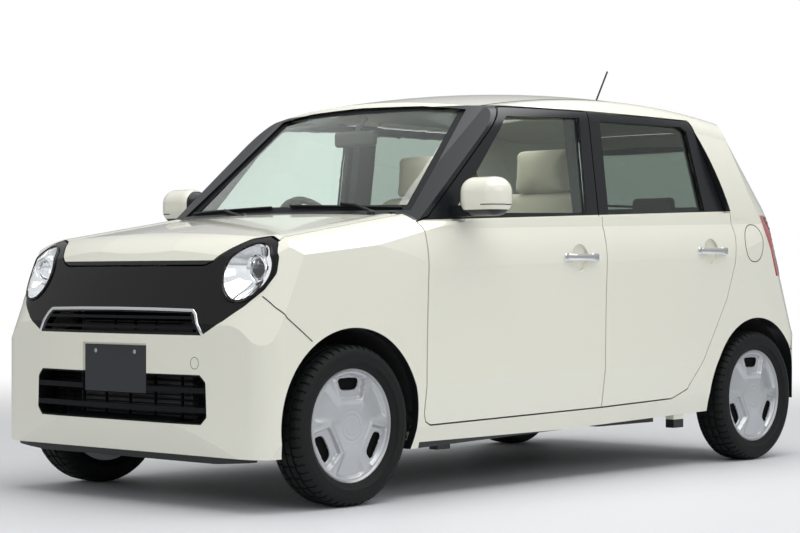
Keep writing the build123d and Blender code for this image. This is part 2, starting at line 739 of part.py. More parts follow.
# Seats, dashboard and steering wheel
seat_view = [(-190, 330), (300, 330), (330, 400), (320, 470), (-60, 455), (-262, 1115),
    (-330, 1128), (-375, 1105), (-215, 430)]
headrest_view = [(-262, 1150), (-272, 1300), (-305, 1318), (-352, 1308), (-360, 1155)]
headrest_half = 140.0
post_view = [(-305, 1105), (-305, 1165), (-320, 1165), (-320, 1105)]
with BuildPart() as front_seats:
    for side in (1, -1):
        add(prism("side", seat_view, side * seat_y - 235, side * seat_y + 235))
        add(prism("side", headrest_view, side * seat_y - headrest_half, side * seat_y + headrest_half))
        add(prism("side", post_view, side * seat_y - 60, side * seat_y + 60))
write(front_seats.part, "front_seats")

rear_seat_view = [(-990, 440), (-560, 440), (-530, 520), (-560, 565), (-960, 560), (-1075, 1030),
    (-1170, 1030), (-1100, 600)]
with BuildPart() as rear_seat:
    add(prism("side", rear_seat_view, -570, 570))
    for side in (1, -1):
        add(prism("side", [(-1095, 1020), (-1105, 1150), (-1160, 1155),
            (-1165, 1020)], side * 290 - 120, side * 290 + 120))
    with Locations(*[Location((rear_axle_x, side * 640, hub_z), (90, 0, 0)) for side in (1, -1)]):
        Cylinder(346, 500, mode=Mode.SUBTRACT)
write(rear_seat.part, "rear_seat")

tilt = radians(steering_tilt)
wheel_axis = Vector(-cos(tilt), 0, sin(tilt))
steering_plane = Plane(origin=steering_hub, x_dir=(0, 1, 0), z_dir=wheel_axis)
with BuildPart() as dashboard:
    add(prism("side", [(585, 780), (700, 640), (836, 640), (836, 985), (760, 1000), (620, 965),
        (585, 900)], -600, 600))
    with BuildSketch(steering_plane.offset(-40)):
        Circle(42)
    extrude(amount=-220)
    with BuildSketch(steering_plane.offset(-45)):
        Circle(10)
    extrude(amount=31)
    add(cabin_space.part, mode=Mode.INTERSECT)
    with Locations((861, 0, 700)):
        Box(50, 1300, 800, mode=Mode.SUBTRACT)
write(dashboard.part, "dashboard")

with BuildPart() as steering_wheel:
    with Locations(steering_plane.location):
        Torus(172, 14)
    with BuildSketch(steering_plane.offset(-30)):
        Circle(48)
    extrude(amount=34)
    with BuildSketch(steering_plane.offset(-16)):
        Rectangle(330, 34)
        with Locations((0, -85)):
            Rectangle(30, 160)
    extrude(amount=14)
    with BuildSketch(steering_plane.offset(-31)):
        Circle(10.3)
    extrude(amount=19, mode=Mode.SUBTRACT)
write(steering_wheel.part, "steering_wheel")

# Door handles and mirrors
for side, name in ((1, "left"), (-1, "right")):
    for place, (mid_x, mid_z) in (("front", handle_front), ("rear", handle_rear)):
        with BuildPart() as handle:
            with Locations((mid_x, side * 751, mid_z)):
                Box(handle_length, 12, 26)
            for end in (-1, 1):
                with Locations((mid_x + end * (handle_length / 2 - 20), side * 736, mid_z)):
                    Box(40, 40, 26)
            add(lower_outer, mode=Mode.SUBTRACT)
        write(handle.part, f"{place}_handle_{name}")
    with BuildPart() as mirror_arm:
        with Locations((640, side * 815, 1081)):
            Box(130, 200, 142)
        fillet(mirror_arm.edges(), 58)
        with Locations((650, side * 715, 1030)):
            Box(60, 90, 40)
        add(lower_outer, mode=Mode.SUBTRACT)
        add(cabin_outer, mode=Mode.SUBTRACT)
    write(mirror_arm.part, f"mirror_{name}")

# Antenna and wipers
with BuildPart() as antenna:
    lean = Vector(-114, 0, 186).normalized()
    with BuildSketch(Plane(origin=(-1060, 0, 1520), z_dir=lean)):
        Circle(4)
    extrude(amount=237)
    with BuildSketch(Plane(origin=(-1060, 0, 1520), z_dir=lean)):
        Circle(14)
    extrude(amount=45, taper=10)
    add(cabin_outer, mode=Mode.SUBTRACT)
write(antenna.part, "antenna")
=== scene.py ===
"""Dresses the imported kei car: paint, glass, wheels, lamps, seats and trim around the CAD frame."""

from __future__ import annotations

import json
import logging
import math
from dataclasses import dataclass, field
from enum import Enum
from typing import Callable, Sequence

import bpy
from mathutils import Matrix, Vector
from mathutils.bvhtree import BVHTree

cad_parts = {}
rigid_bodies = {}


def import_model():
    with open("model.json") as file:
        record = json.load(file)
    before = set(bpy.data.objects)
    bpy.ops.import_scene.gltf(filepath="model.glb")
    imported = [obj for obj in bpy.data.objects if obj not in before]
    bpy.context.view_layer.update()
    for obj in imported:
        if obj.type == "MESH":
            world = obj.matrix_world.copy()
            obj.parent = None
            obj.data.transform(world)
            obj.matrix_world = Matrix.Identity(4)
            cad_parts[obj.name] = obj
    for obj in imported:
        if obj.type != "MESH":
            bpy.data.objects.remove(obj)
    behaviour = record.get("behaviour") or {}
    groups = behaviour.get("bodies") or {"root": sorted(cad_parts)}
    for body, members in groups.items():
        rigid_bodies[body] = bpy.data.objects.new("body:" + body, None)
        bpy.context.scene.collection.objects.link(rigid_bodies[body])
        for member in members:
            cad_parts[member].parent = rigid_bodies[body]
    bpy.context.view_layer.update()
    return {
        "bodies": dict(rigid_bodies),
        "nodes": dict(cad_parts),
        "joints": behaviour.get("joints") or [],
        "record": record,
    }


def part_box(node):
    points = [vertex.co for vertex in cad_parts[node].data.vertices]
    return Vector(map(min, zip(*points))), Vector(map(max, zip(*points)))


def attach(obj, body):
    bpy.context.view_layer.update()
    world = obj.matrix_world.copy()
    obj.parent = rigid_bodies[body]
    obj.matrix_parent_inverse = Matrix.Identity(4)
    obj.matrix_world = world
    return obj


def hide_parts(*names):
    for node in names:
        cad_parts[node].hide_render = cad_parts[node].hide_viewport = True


LOG = logging.getLogger("kei_car")
Colour = tuple[float, float, float]
Point = tuple[float, float, float]
Flat = tuple[float, float]
Spot = tuple[Vector, Vector]
Piece = bpy.types.Object
Nodes = dict[str, Piece]
Tree = bpy.types.NodeTree
Socket = bpy.types.NodeSocket

BELT_AT_ORIGIN = 1.0215
BELT_SLOPE = -0.0397
QUARTER_AT_GROUND = -1.6467
QUARTER_SLOPE = 0.5067
SIDES: dict[str, int] = {"left": 1, "right": -1}
AXLES: dict[str, float] = {"front": 1.23, "rear": -1.29}
HUB_HEIGHT = 0.278
# Reach from a hub within which the arch walls get painted shade.
ARCH_SHADE_REACH = 0.3372
# Depth under which the wheel covers' slots get painted shade.
SLOT_SHADE_Y = 0.6885
BELT_RISE = 0.006
PILLAR_TOP = 1.4475
# Height under which the sill gets painted shade.
SILL_SHADE_TOP = 0.2
# Height under which the hood's lip gets painted shade.
HOOD_SHADE_TOP = 0.846
MIRROR_FOOT_TOP = 1.032
MIRROR_FOOT_Y = 0.742
SCREEN_ENDS = (1.052, 1.432)
SCREEN_TAPER = 0.27
SCREEN_HALF = 0.846
REAR_ENDS = (1.112, 1.362)
REAR_TAPER = 0.15
REAR_HALF = 0.604
COAT_ROUGHNESS = 0.03
REFRACTION = 1.45
CLOUD_SCALE = 3.5
CLOUD_DETAIL = 5.0
GRAIN_DETAIL = 3.0
GRAIN_STRENGTH = 0.6


class Region(Enum):
    """Where a panel's second colour lies: dark paint or border in some regions, painted shade in others."""

    NONE = "none"
    ABOVE_BELT = "above the belt line"
    # Dark pillar, plus painted shade under the sill and on the arch walls.
    SCREEN_PILLAR = "pillar beside the screen"
    SCREEN_BORDER = "dark border of the screen"
    REAR_BORDER = "dark border of the rear window"
    # Painted shade in the gap under the hood's front edge.
    HOOD_LIP = "dark gap under the hood's front edge"
    MIRROR_FOOT = "dark foot of the door mirror"
    # Painted shade on the panel walls inside the wheel arches.
    WHEEL_ARCH = "dark wall of the wheel arch"
    # Painted shade in the wheel covers' slots.
    COVER_SLOT = "dark slots of the wheel covers"


class RegionMask:
    """Math nodes that give 1 inside a region and 0 outside it."""

    def __init__(self, tree: Tree, place: Socket) -> None:
        """Splits the place on the piece into its three lengths.

        Args:
            tree: Node tree of the material.
            place: Socket of the Object coordinates.
        """
        self.tree = tree
        split = tree.nodes.new("ShaderNodeSeparateXYZ")
        tree.links.new(place, split.inputs["Vector"])
        self.x, self.y, self.z = (split.outputs[i] for i in range(3))

    def step(self, kind: str, *values: Socket | float) -> Socket:
        """Adds one math node.

        Args:
            kind: Name of the operation.
            values: Sockets or plain numbers that it works on.

        Returns:
            The node's output.
        """
        node = self.tree.nodes.new("ShaderNodeMath")
        node.operation = kind
        for socket, value in zip(node.inputs, values):
            if isinstance(value, (int, float)):
                socket.default_value = value
            else:
                self.tree.links.new(value, socket)
        return node.outputs[0]

    def over(self, value: Socket, limit: Socket | float) -> Socket:
        """Gives 1 where the value is over the limit."""
        return self.step("GREATER_THAN", value, limit)

    def under(self, value: Socket, limit: Socket | float) -> Socket:
        """Gives 1 where the value is under the limit."""
        return self.step("LESS_THAN", value, limit)

    def either(self, first: Socket, *others: Socket) -> Socket:
        """Gives 1 where any of the masks does."""
        for other in others:
            first = self.step("MAXIMUM", first, other)
        return first

    def above_belt(self) -> Socket:
        """Gives 1 above the sloping belt line."""
        belt = self.step("SUBTRACT", self.z, self.step("MULTIPLY", self.x, BELT_SLOPE))
        return self.over(belt, BELT_AT_ORIGIN + BELT_RISE)

    def arch_shade_mask(self) -> Socket:
        """Gives 1 within reach of a wheel's hub, where the arch walls get painted shade."""
        rise = self.step("SUBTRACT", self.z, HUB_HEIGHT)
        masks = []
        for axle in AXLES.values():
            ahead = self.step("SUBTRACT", self.x, axle)
            reach = self.step("MULTIPLY_ADD", ahead, ahead, self.step("MULTIPLY", rise, rise))
            masks.append(self.under(reach, ARCH_SHADE_REACH ** 2))
        return self.either(*masks)

    def pillar_and_shade(self) -> Socket:
        """Gives 1 on the dark pillars, and for painted shade under the sill and on the arch walls."""
        quarter = self.step("MULTIPLY_ADD", self.z, QUARTER_SLOPE, QUARTER_AT_GROUND)
        front = self.step("MULTIPLY", self.above_belt(), self.over(self.x, quarter))
        pillar = self.step("MULTIPLY", front, self.under(self.z, PILLAR_TOP))
        # Painted shade on the arch walls and under the sill.
        return self.either(pillar, self.arch_shade_mask(), self.under(self.z, SILL_SHADE_TOP))

    def border(self, ends: Flat, taper: float, half: float) -> Socket:
        """Gives 1 on the border of a pane that narrows upwards.

        Args:
            ends: Heights of the border's lower and upper inner edge.
            taper: Half width that is lost in a metre of height.
            half: Half width of the clear part, brought down to the ground.

        Returns:
            The mask's socket.
        """
        slant = self.step("ADD", self.step("ABSOLUTE", self.y), self.step("MULTIPLY", self.z, taper))
        low, high = ends
        return self.either(self.over(self.z, high), self.under(self.z, low), self.over(slant, half))

    def of(self, region: Region) -> Socket:
        """Makes the mask of a region.

        Args:
            region: Any region but the empty one.

        Returns:
            The mask's socket.
        """
        # Painted shade on the wheel arch walls.
        if region is Region.WHEEL_ARCH:
            return self.arch_shade_mask()
        # Dark frame above the belt, and painted shade on the arch walls.
        if region is Region.ABOVE_BELT:
            return self.either(self.above_belt(), self.arch_shade_mask())
        # Dark pillars, with painted shade under the sill and on the arch walls.
        if region is Region.SCREEN_PILLAR:
            return self.pillar_and_shade()
        # Painted shade on the hood's lip, in the gap above the grille mask.
        if region is Region.HOOD_LIP:
            return self.under(self.z, HOOD_SHADE_TOP)
        if region is Region.SCREEN_BORDER:
            return self.border(SCREEN_ENDS, SCREEN_TAPER, SCREEN_HALF)
        if region is Region.REAR_BORDER:
            return self.border(REAR_ENDS, REAR_TAPER, REAR_HALF)
        wide = self.step("ABSOLUTE", self.y)
        # Painted shade in the deepest parts, the wheel covers' slots.
        if region is Region.COVER_SLOT:
            return self.under(wide, SLOT_SHADE_Y)
        return self.either(self.under(self.z, MIRROR_FOOT_TOP), self.under(wide, MIRROR_FOOT_Y))


@dataclass(frozen=True)
class Finish:
    """One surface finish, made as a node material on Object coordinates.

    Attributes:
        name: Name of the material.
        colour: Linear base colour.
        roughness: Roughness of the shader.
        metallic: 1 for bare metal.
        coat: Weight of a clear coat.
        clear: Transmission weight of glass.
        mottle: Share by which the colour varies.
        grain: Depth of the surface grain in metres.
        grain_scale: Cells of the grain in a metre.
        wear: Share by which roughness varies.
        sheen: Weight of the cloth sheen.
        specular: Strength of the plain reflection.
        region: Where the second colour lies.
        second: Second colour; dark paint in some regions, painted shade in others.
        second_roughness: Roughness where the second colour lies.
    """

    name: str
    colour: Colour
    roughness: float = 0.5
    metallic: float = 0.0
    coat: float = 0.0
    clear: float = 0.0
    mottle: float = 0.03
    grain: float = 0.0
    grain_scale: float = 600.0
    wear: float = 0.1
    sheen: float = 0.0
    specular: float = 0.5
    region: Region = Region.NONE
    second: Colour = (0.011, 0.013, 0.015)
    second_roughness: float = 0.3

    def material(self) -> bpy.types.Material:
        """Makes the material, or gives the one that is already made.

        Returns:
            The node material of this finish.
        """
        known = bpy.data.materials.get(self.name)
        if known:
            return known
        material = bpy.data.materials.new(self.name)
        material.use_nodes = True
        tree = material.node_tree
        nodes, links = tree.nodes, tree.links
        shader = nodes["Principled BSDF"]
        shader.inputs["Metallic"].default_value = self.metallic
        shader.inputs["Coat Weight"].default_value = self.coat
        shader.inputs["Coat Roughness"].default_value = COAT_ROUGHNESS
        shader.inputs["Sheen Weight"].default_value = self.sheen
        shader.inputs["IOR"].default_value = REFRACTION
        shader.inputs["Specular IOR Level"].default_value = self.specular
        place = nodes.new("ShaderNodeTexCoord").outputs["Object"]
        cloud = self._noise(tree, place, CLOUD_SCALE, CLOUD_DETAIL)
        tint = nodes.new("ShaderNodeMix")
        tint.data_type = "RGBA"
        tint.inputs[6].default_value = [c * (1 - self.mottle) for c in self.colour] + [1.0]
        tint.inputs[7].default_value = [min(c * (1 + self.mottle), 1.0) for c in self.colour] + [1.0]
        links.new(cloud, tint.inputs["Factor"])
        rough = nodes.new("ShaderNodeMapRange")
        rough.inputs["To Min"].default_value = max(self.roughness * (1 - self.wear), 0.0)
        rough.inputs["To Max"].default_value = self.roughness * (1 + self.wear)
        links.new(cloud, rough.inputs["Value"])
        colour_out, rough_out = tint.outputs[2], rough.outputs["Result"]
        # The second colour is dark paint in some regions and painted shade in others.
        if self.region is not Region.NONE:
            mask = RegionMask(tree, place).of(self.region)
            colour_out = self._mixed(tree, mask, colour_out)
            rough_out = self._mixed_value(tree, mask, rough_out, self.second_roughness)
            for value, socket in ((self.clear, "Transmission Weight"), (self.coat, "Coat Weight")):
                if value:
                    links.new(self._mixed_value(tree, mask, value, 0.0), shader.inputs[socket])
        elif self.clear:
            shader.inputs["Transmission Weight"].default_value = self.clear
        links.new(colour_out, shader.inputs["Base Color"])
        links.new(rough_out, shader.inputs["Roughness"])
        if self.grain:
            bump = nodes.new("ShaderNodeBump")
            bump.inputs["Distance"].default_value = self.grain
            bump.inputs["Strength"].default_value = GRAIN_STRENGTH
            links.new(self._noise(tree, place, self.grain_scale, GRAIN_DETAIL), bump.inputs["Height"])
            links.new(bump.outputs["Normal"], shader.inputs["Normal"])
        return material

    @staticmethod
    def _noise(tree: Tree, place: Socket, scale: float, detail: float) -> Socket:
        """Adds a noise that stays on the piece.

        Args:
            tree: Node tree of the material.
            place: Socket of the Object coordinates.
            scale: Cells in a metre.
            detail: Number of finer layers.

        Returns:
            The noise's socket.
        """
        noise = tree.nodes.new("ShaderNodeTexNoise")
        noise.inputs["Scale"].default_value = scale
        noise.inputs["Detail"].default_value = detail
        tree.links.new(place, noise.inputs["Vector"])
        return noise.outputs["Fac"]

    def _mixed(self, tree: Tree, mask: Socket, first: Socket) -> Socket:
        """Mixes the second colour in where the mask is 1.

        Args:
            tree: Node tree of the material.
            mask: Socket of the mask.
            first: Socket of the first colour.

        Returns:
            The mixed colour's socket.
        """
        mix = tree.nodes.new("ShaderNodeMix")
        mix.data_type = "RGBA"
        mix.inputs[7].default_value = (*self.second, 1.0)
        tree.links.new(mask, mix.inputs["Factor"])
        tree.links.new(first, mix.inputs[6])
        return mix.outputs[2]

    @staticmethod
    def _mixed_value(tree: Tree, mask: Socket, first: Socket | float, second: float) -> Socket:
        """Mixes a second value in where the mask is 1.

        Args:
            tree: Node tree of the material.
            mask: Socket of the mask.
            first: Socket or number of the first value.
            second: The second value.

        Returns:
            The mixed value's socket.
        """
        mix = tree.nodes.new("ShaderNodeMix")
        mix.inputs[3].default_value = second
        tree.links.new(mask, mix.inputs["Factor"])
        if isinstance(first, (int, float)):
            mix.inputs[2].default_value = first
        else:
            tree.links.new(first, mix.inputs[2])
        return mix.outputs[0]


IVORY = (0.80, 0.795, 0.69)


def ivory(name: str, region: Region = Region.NONE) -> Finish:
    """Gives the ivory paint with a dark second colour in a region: dark paint in some, painted shade in
    others.
    """
    return Finish(name, IVORY, roughness=0.28, coat=1.0, mottle=0.006, wear=0.05, region=region)


PAINT = ivory("ivory_paint")
# Ivory paint with painted shade on the wheel arch walls; the doors get the same shade.
ARCH_SHADED_PAINT = ivory("ivory_paint_arch_shade", Region.WHEEL_ARCH)
DOOR_PAINT = ivory("ivory_door_paint_arch_shade", Region.ABOVE_BELT)
PILLAR_SHADED_PAINT = ivory("ivory_pillar_paint_with_shade", Region.SCREEN_PILLAR)
# Ivory paint with painted shade on the hood's lip.
HOOD_SHADED_PAINT = ivory("ivory_hood_paint_lip_shade", Region.HOOD_LIP)
MIRROR_PAINT = ivory("ivory_mirror_paint", Region.MIRROR_FOOT)
GLOSS_BLACK = Finish("gloss_black", (0.006, 0.006, 0.007), roughness=0.10, mottle=0.1, specular=0.4)
SATIN_BLACK = Finish(
    "satin_black_plastic", (0.008, 0.009, 0.010), roughness=0.45, mottle=0.15, grain=0.0002
)
GRILLE_BLACK = Finish(
    "grille_black", (0.006, 0.007, 0.008), 0.6, mottle=0.15, grain=0.0002, specular=0.15
)
LINER_BLACK = Finish(
    "liner_felt", (0.012, 0.012, 0.012), roughness=0.9, mottle=0.25, grain=0.0008, grain_scale=350
)
RUBBER = Finish(
    "tyre_rubber", (0.009, 0.011, 0.011), 0.66, mottle=0.12, grain=0.0003, grain_scale=500, specular=0.25
)
CHROME = Finish("bright_chrome", (0.86, 0.87, 0.88), roughness=0.07, metallic=1.0, mottle=0.01)
# Silver wheel covers, with painted shade in their slots.
SILVER = Finish(
    "wheel_silver_slot_shade", (0.52, 0.54, 0.56), 0.34, metallic=0.55, coat=0.5, mottle=0.03,
    grain=0.00003, grain_scale=2500,
    region=Region.COVER_SLOT, second=(0.003, 0.003, 0.003), second_roughness=0.9,
)
STEEL = Finish("bare_steel", (0.42, 0.42, 0.43), roughness=0.42, metallic=0.9, mottle=0.12, grain=0.0001)
CAST_IRON = Finish(
    "dark_casting", (0.09, 0.09, 0.092), roughness=0.6, metallic=0.5, mottle=0.25,
    grain=0.0006, grain_scale=250,
)
UNDERSEAL = Finish("floor_underseal", (0.045, 0.045, 0.046), roughness=0.8, mottle=0.2, grain=0.0006)
SCREEN_GLASS = Finish(
    "screen_glass", (0.84, 0.93, 0.88), 0.0, clear=1.0, mottle=0.0, wear=0.0, specular=0.2,
    region=Region.SCREEN_BORDER, second_roughness=0.6,
)
FRONT_GLASS = Finish(
    "front_door_glass", (0.80, 0.90, 0.84), roughness=0.0, clear=1.0, mottle=0.0, wear=0.0
)
TINTED_GLASS = Finish("tinted_glass", (0.36, 0.42, 0.38), roughness=0.0, clear=1.0, mottle=0.0, wear=0.0)
REAR_GLASS = Finish(
    "rear_tinted_glass", (0.36, 0.42, 0.38), 0.0, clear=1.0, mottle=0.0, wear=0.0, region=Region.REAR_BORDER
)
LAMP_GLASS = Finish("lamp_lens", (0.96, 0.97, 0.98), roughness=0.0, clear=1.0, mottle=0.0, wear=0.0)
RED_RIB = Finish("red_lens_rib", (0.20, 0.005, 0.006), roughness=0.15, coat=1.0, mottle=0.08)
CLEAR_LENS = Finish("clear_lens", (0.74, 0.75, 0.76), roughness=0.12, coat=1.0, mottle=0.04)
RED_LENS = Finish("red_lens", (0.42, 0.012, 0.014), roughness=0.1, coat=1.0, mottle=0.08)
PLATE_GREY = Finish(
    "plate_grey", (0.022, 0.026, 0.030), roughness=0.5, mottle=0.08, grain=0.00008, grain_scale=1500
)
BEIGE_CLOTH = Finish(
    "beige_seat_cloth", (0.52, 0.46, 0.36), 0.85, mottle=0.06, grain=0.0006, grain_scale=900, sheen=0.3
)
DARK_CLOTH = Finish(
    "dark_seat_cloth", (0.05, 0.047, 0.043), 0.9, mottle=0.1, grain=0.0006, grain_scale=900, sheen=0.2
)
SEAM = Finish("joint_shadow", (0.02, 0.02, 0.02), roughness=0.8, mottle=0.2)
DASH_PLASTIC = Finish(
    "dash_plastic", (0.11, 0.105, 0.098), roughness=0.6, mottle=0.06, grain=0.0003, grain_scale=700
)

NODE_FINISHES: dict[str, Finish] = {
    "floor_pan": UNDERSEAL,
    "side_frame_left": PILLAR_SHADED_PAINT,
    "side_frame_right": PILLAR_SHADED_PAINT,
    "roof_panel": PAINT,
    "cowl": SATIN_BLACK,
    "fenders": ARCH_SHADED_PAINT,
    "front_bumper": ARCH_SHADED_PAINT,
    "rear_bumper": ARCH_SHADED_PAINT,
    "grille_mask": GLOSS_BLACK,
    "front_grilles": GRILLE_BLACK,
    "headlamps": LAMP_GLASS,
    "tail_lamps": RED_LENS,
    "windshield": SCREEN_GLASS,
    "arch_liners": LINER_BLACK,
    "front_plate": PLATE_GREY,
    "radiator": CAST_IRON,
    "engine_block": CAST_IRON,
    "fuel_tank": UNDERSEAL,
    "exhaust": STEEL,
    "front_suspension": CAST_IRON,
    "rear_axle": CAST_IRON,
    "dashboard": DASH_PLASTIC,
    "front_seats": BEIGE_CLOTH,
    "rear_seat": DARK_CLOTH,
    "antenna": SATIN_BLACK,
    "hood": HOOD_SHADED_PAINT,
    "tailgate": PAINT,
    "tailgate_glass": REAR_GLASS,
    "steering_wheel": DASH_PLASTIC,
    "knuckle_left": CAST_IRON,
    "knuckle_right": CAST_IRON,
}
SIDE_FINISHES: dict[str, Finish] = {
    "front_door": DOOR_PAINT,
    "front_door_glass": FRONT_GLASS,
    "front_handle": CHROME,
    "mirror": MIRROR_PAINT,
    "rear_door": DOOR_PAINT,
    "rear_door_glass": TINTED_GLASS,
    "rear_handle": CHROME,
    "tyre_front": RUBBER,
    "tyre_rear": RUBBER,
    "wheel_front": SILVER,
    "wheel_rear": SILVER,
}


@dataclass
class Studio:
    """Camera, lamps, world and floor of the photograph."""

    eye: Point = (6.35016, 5.61310, 0.78193)
    yaw: float = -137.57
    pitch: float = 0.35
    lens: float = 92.80
    floor_side: float = 80.0

    def build(self) -> None:
        """Builds the camera, the lamps, the world and the floor."""
        self._camera()
        self._world()
        self._floor()
        self._lamp("overhead_softbox", (0.0, 1.0, 4.6), (0.0, 0.0, 0.0), (7.0, 4.5), 230.0)
        self._lamp("side_softbox", (1.2, 7.5, 3.4), (0.0, 0.0, 0.7), (7.0, 2.6), 100.0)
        self._lamp("front_softbox", (7.5, -1.0, 3.0), (1.4, 0.0, 0.7), (3.5, 2.4), 42.0)
        fill = self._lamp("cabin_fill", (-0.3, 0.0, 1.40), (-0.3, 0.0, 0.4), (1.2, 0.6), 4.5)
        fill.visible_camera = fill.visible_transmission = fill.visible_glossy = False
        bpy.context.scene.view_settings.view_transform = "Standard"

    def _camera(self) -> None:
        """Adds the camera that was fitted to the photograph."""
        yaw, pitch = math.radians(self.yaw), math.radians(self.pitch)
        level = math.cos(pitch)
        look = Vector((math.cos(yaw) * level, math.sin(yaw) * level, math.sin(pitch)))
        bpy.ops.object.camera_add(location=self.eye, rotation=look.to_track_quat("-Z", "Y").to_euler())
        camera = bpy.context.object
        camera.data.sensor_fit = "HORIZONTAL"
        camera.data.sensor_width = 36.0
        camera.data.lens = self.lens
        camera.data.clip_end = 200.0
        bpy.context.scene.camera = camera

    def _lamp(self, name: str, place: Point, target: Point, size: Flat, watts: float) -> Piece:
        """Adds a soft area lamp that faces the target.

        Args:
            name: Name of the lamp.
            place: Where it hangs, in metres.
            target: Point that it faces.
            size: Its width and height.
            watts: Its power.

        Returns:
            The lamp.
        """
        turn = (Vector(target) - Vector(place)).to_track_quat("-Z", "Y").to_euler()
        bpy.ops.object.light_add(type="AREA", location=place, rotation=turn)
        lamp = bpy.context.object
        lamp.name = name
        lamp.data.shape = "RECTANGLE"
        lamp.data.size, lamp.data.size_y = size
        lamp.data.energy = watts
        return lamp

    def _world(self) -> None:
        """Lights the room softly, with white behind the car."""
        world = bpy.data.worlds.new("studio_world")
        bpy.context.scene.world = world
        world.use_nodes = True
        nodes, links = world.node_tree.nodes, world.node_tree.links
        nodes.clear()
        ray = nodes.new("ShaderNodeLightPath")
        place = nodes.new("ShaderNodeTexCoord")
        split = nodes.new("ShaderNodeSeparateXYZ")
        links.new(place.outputs["Generated"], split.inputs["Vector"])
        ramp = nodes.new("ShaderNodeValToRGB")
        ramp.color_ramp.elements[0].position = 0.42
        ramp.color_ramp.elements[0].color = (0.26, 0.27, 0.28, 1.0)
        ramp.color_ramp.elements[1].position = 0.85
        ramp.color_ramp.elements[1].color = (0.58, 0.58, 0.58, 1.0)
        rise = nodes.new("ShaderNodeMapRange")
        rise.inputs["From Min"].default_value = -1.0
        links.new(split.outputs["Z"], rise.inputs["Value"])
        links.new(rise.outputs["Result"], ramp.inputs["Fac"])
        room = nodes.new("ShaderNodeBackground")
        links.new(ramp.outputs["Color"], room.inputs["Color"])
        white = nodes.new("ShaderNodeBackground")
        white.inputs["Color"].default_value = (1.0, 1.0, 1.0, 1.0)
        seen = nodes.new("ShaderNodeMath")
        seen.operation = "MAXIMUM"
        links.new(ray.outputs["Is Camera Ray"], seen.inputs[0])
        links.new(ray.outputs["Is Transmission Ray"], seen.inputs[1])
        mix = nodes.new("ShaderNodeMixShader")
        links.new(seen.outputs[0], mix.inputs["Fac"])
        links.new(room.outputs[0], mix.inputs[1])
        links.new(white.outputs[0], mix.inputs[2])
        out = nodes.new("ShaderNodeOutputWorld")
        links.new(mix.outputs[0], out.inputs["Surface"])

    def _floor(self) -> None:
        """Adds the pale floor, which fades into the white room."""
        bpy.ops.mesh.primitive_plane_add(size=self.floor_side)
        floor = bpy.context.object
        floor.name = "studio_floor"
        material = bpy.data.materials.new("studio_floor_paint")
        material.use_nodes = True
        nodes, links = material.node_tree.nodes, material.node_tree.links
        shader = nodes["Principled BSDF"]
        shader.inputs["Base Color"].default_value = (0.66, 0.67, 0.69, 1.0)
        shader.inputs["Roughness"].default_value = 0.55
        place = nodes.new("ShaderNodeTexCoord")
        reach = nodes.new("ShaderNodeVectorMath")
        reach.operation = "LENGTH"
        links.new(place.outputs["Object"], reach.inputs[0])
        fade = nodes.new("ShaderNodeMapRange")
        fade.interpolation_type = "SMOOTHSTEP"
        fade.inputs["From Min"].default_value = 2.0
        fade.inputs["From Max"].default_value = 9.0
        links.new(reach.outputs["Value"], fade.inputs["Value"])
        white = nodes.new("ShaderNodeEmission")
        ray = nodes.new("ShaderNodeLightPath")
        part = nodes.new("ShaderNodeMath")
        part.operation = "MULTIPLY"
        links.new(fade.outputs["Result"], part.inputs[0])
        links.new(ray.outputs["Is Camera Ray"], part.inputs[1])
        mix = nodes.new("ShaderNodeMixShader")
        links.new(part.outputs[0], mix.inputs["Fac"])
        links.new(shader.outputs[0], mix.inputs[1])
        links.new(white.outputs[0], mix.inputs[2])
        links.new(mix.outputs[0], nodes["Material Output"].inputs["Surface"])
        floor.data.materials.append(material)


@dataclass
class Bodywork:
    """The CAD nodes, each with its finish."""

    nodes: Nodes = field(default_factory=dict)

    def dress(self) -> None:
        """Gives every CAD node its material."""
        for name, node in self.nodes.items():
            finish = NODE_FINISHES.get(name) or SIDE_FINISHES[name.rsplit("_", 1)[0]]
            node.data.materials.clear()
            node.data.materials.append(finish.material())
            LOG.info("node %s: %s", name, finish.name)


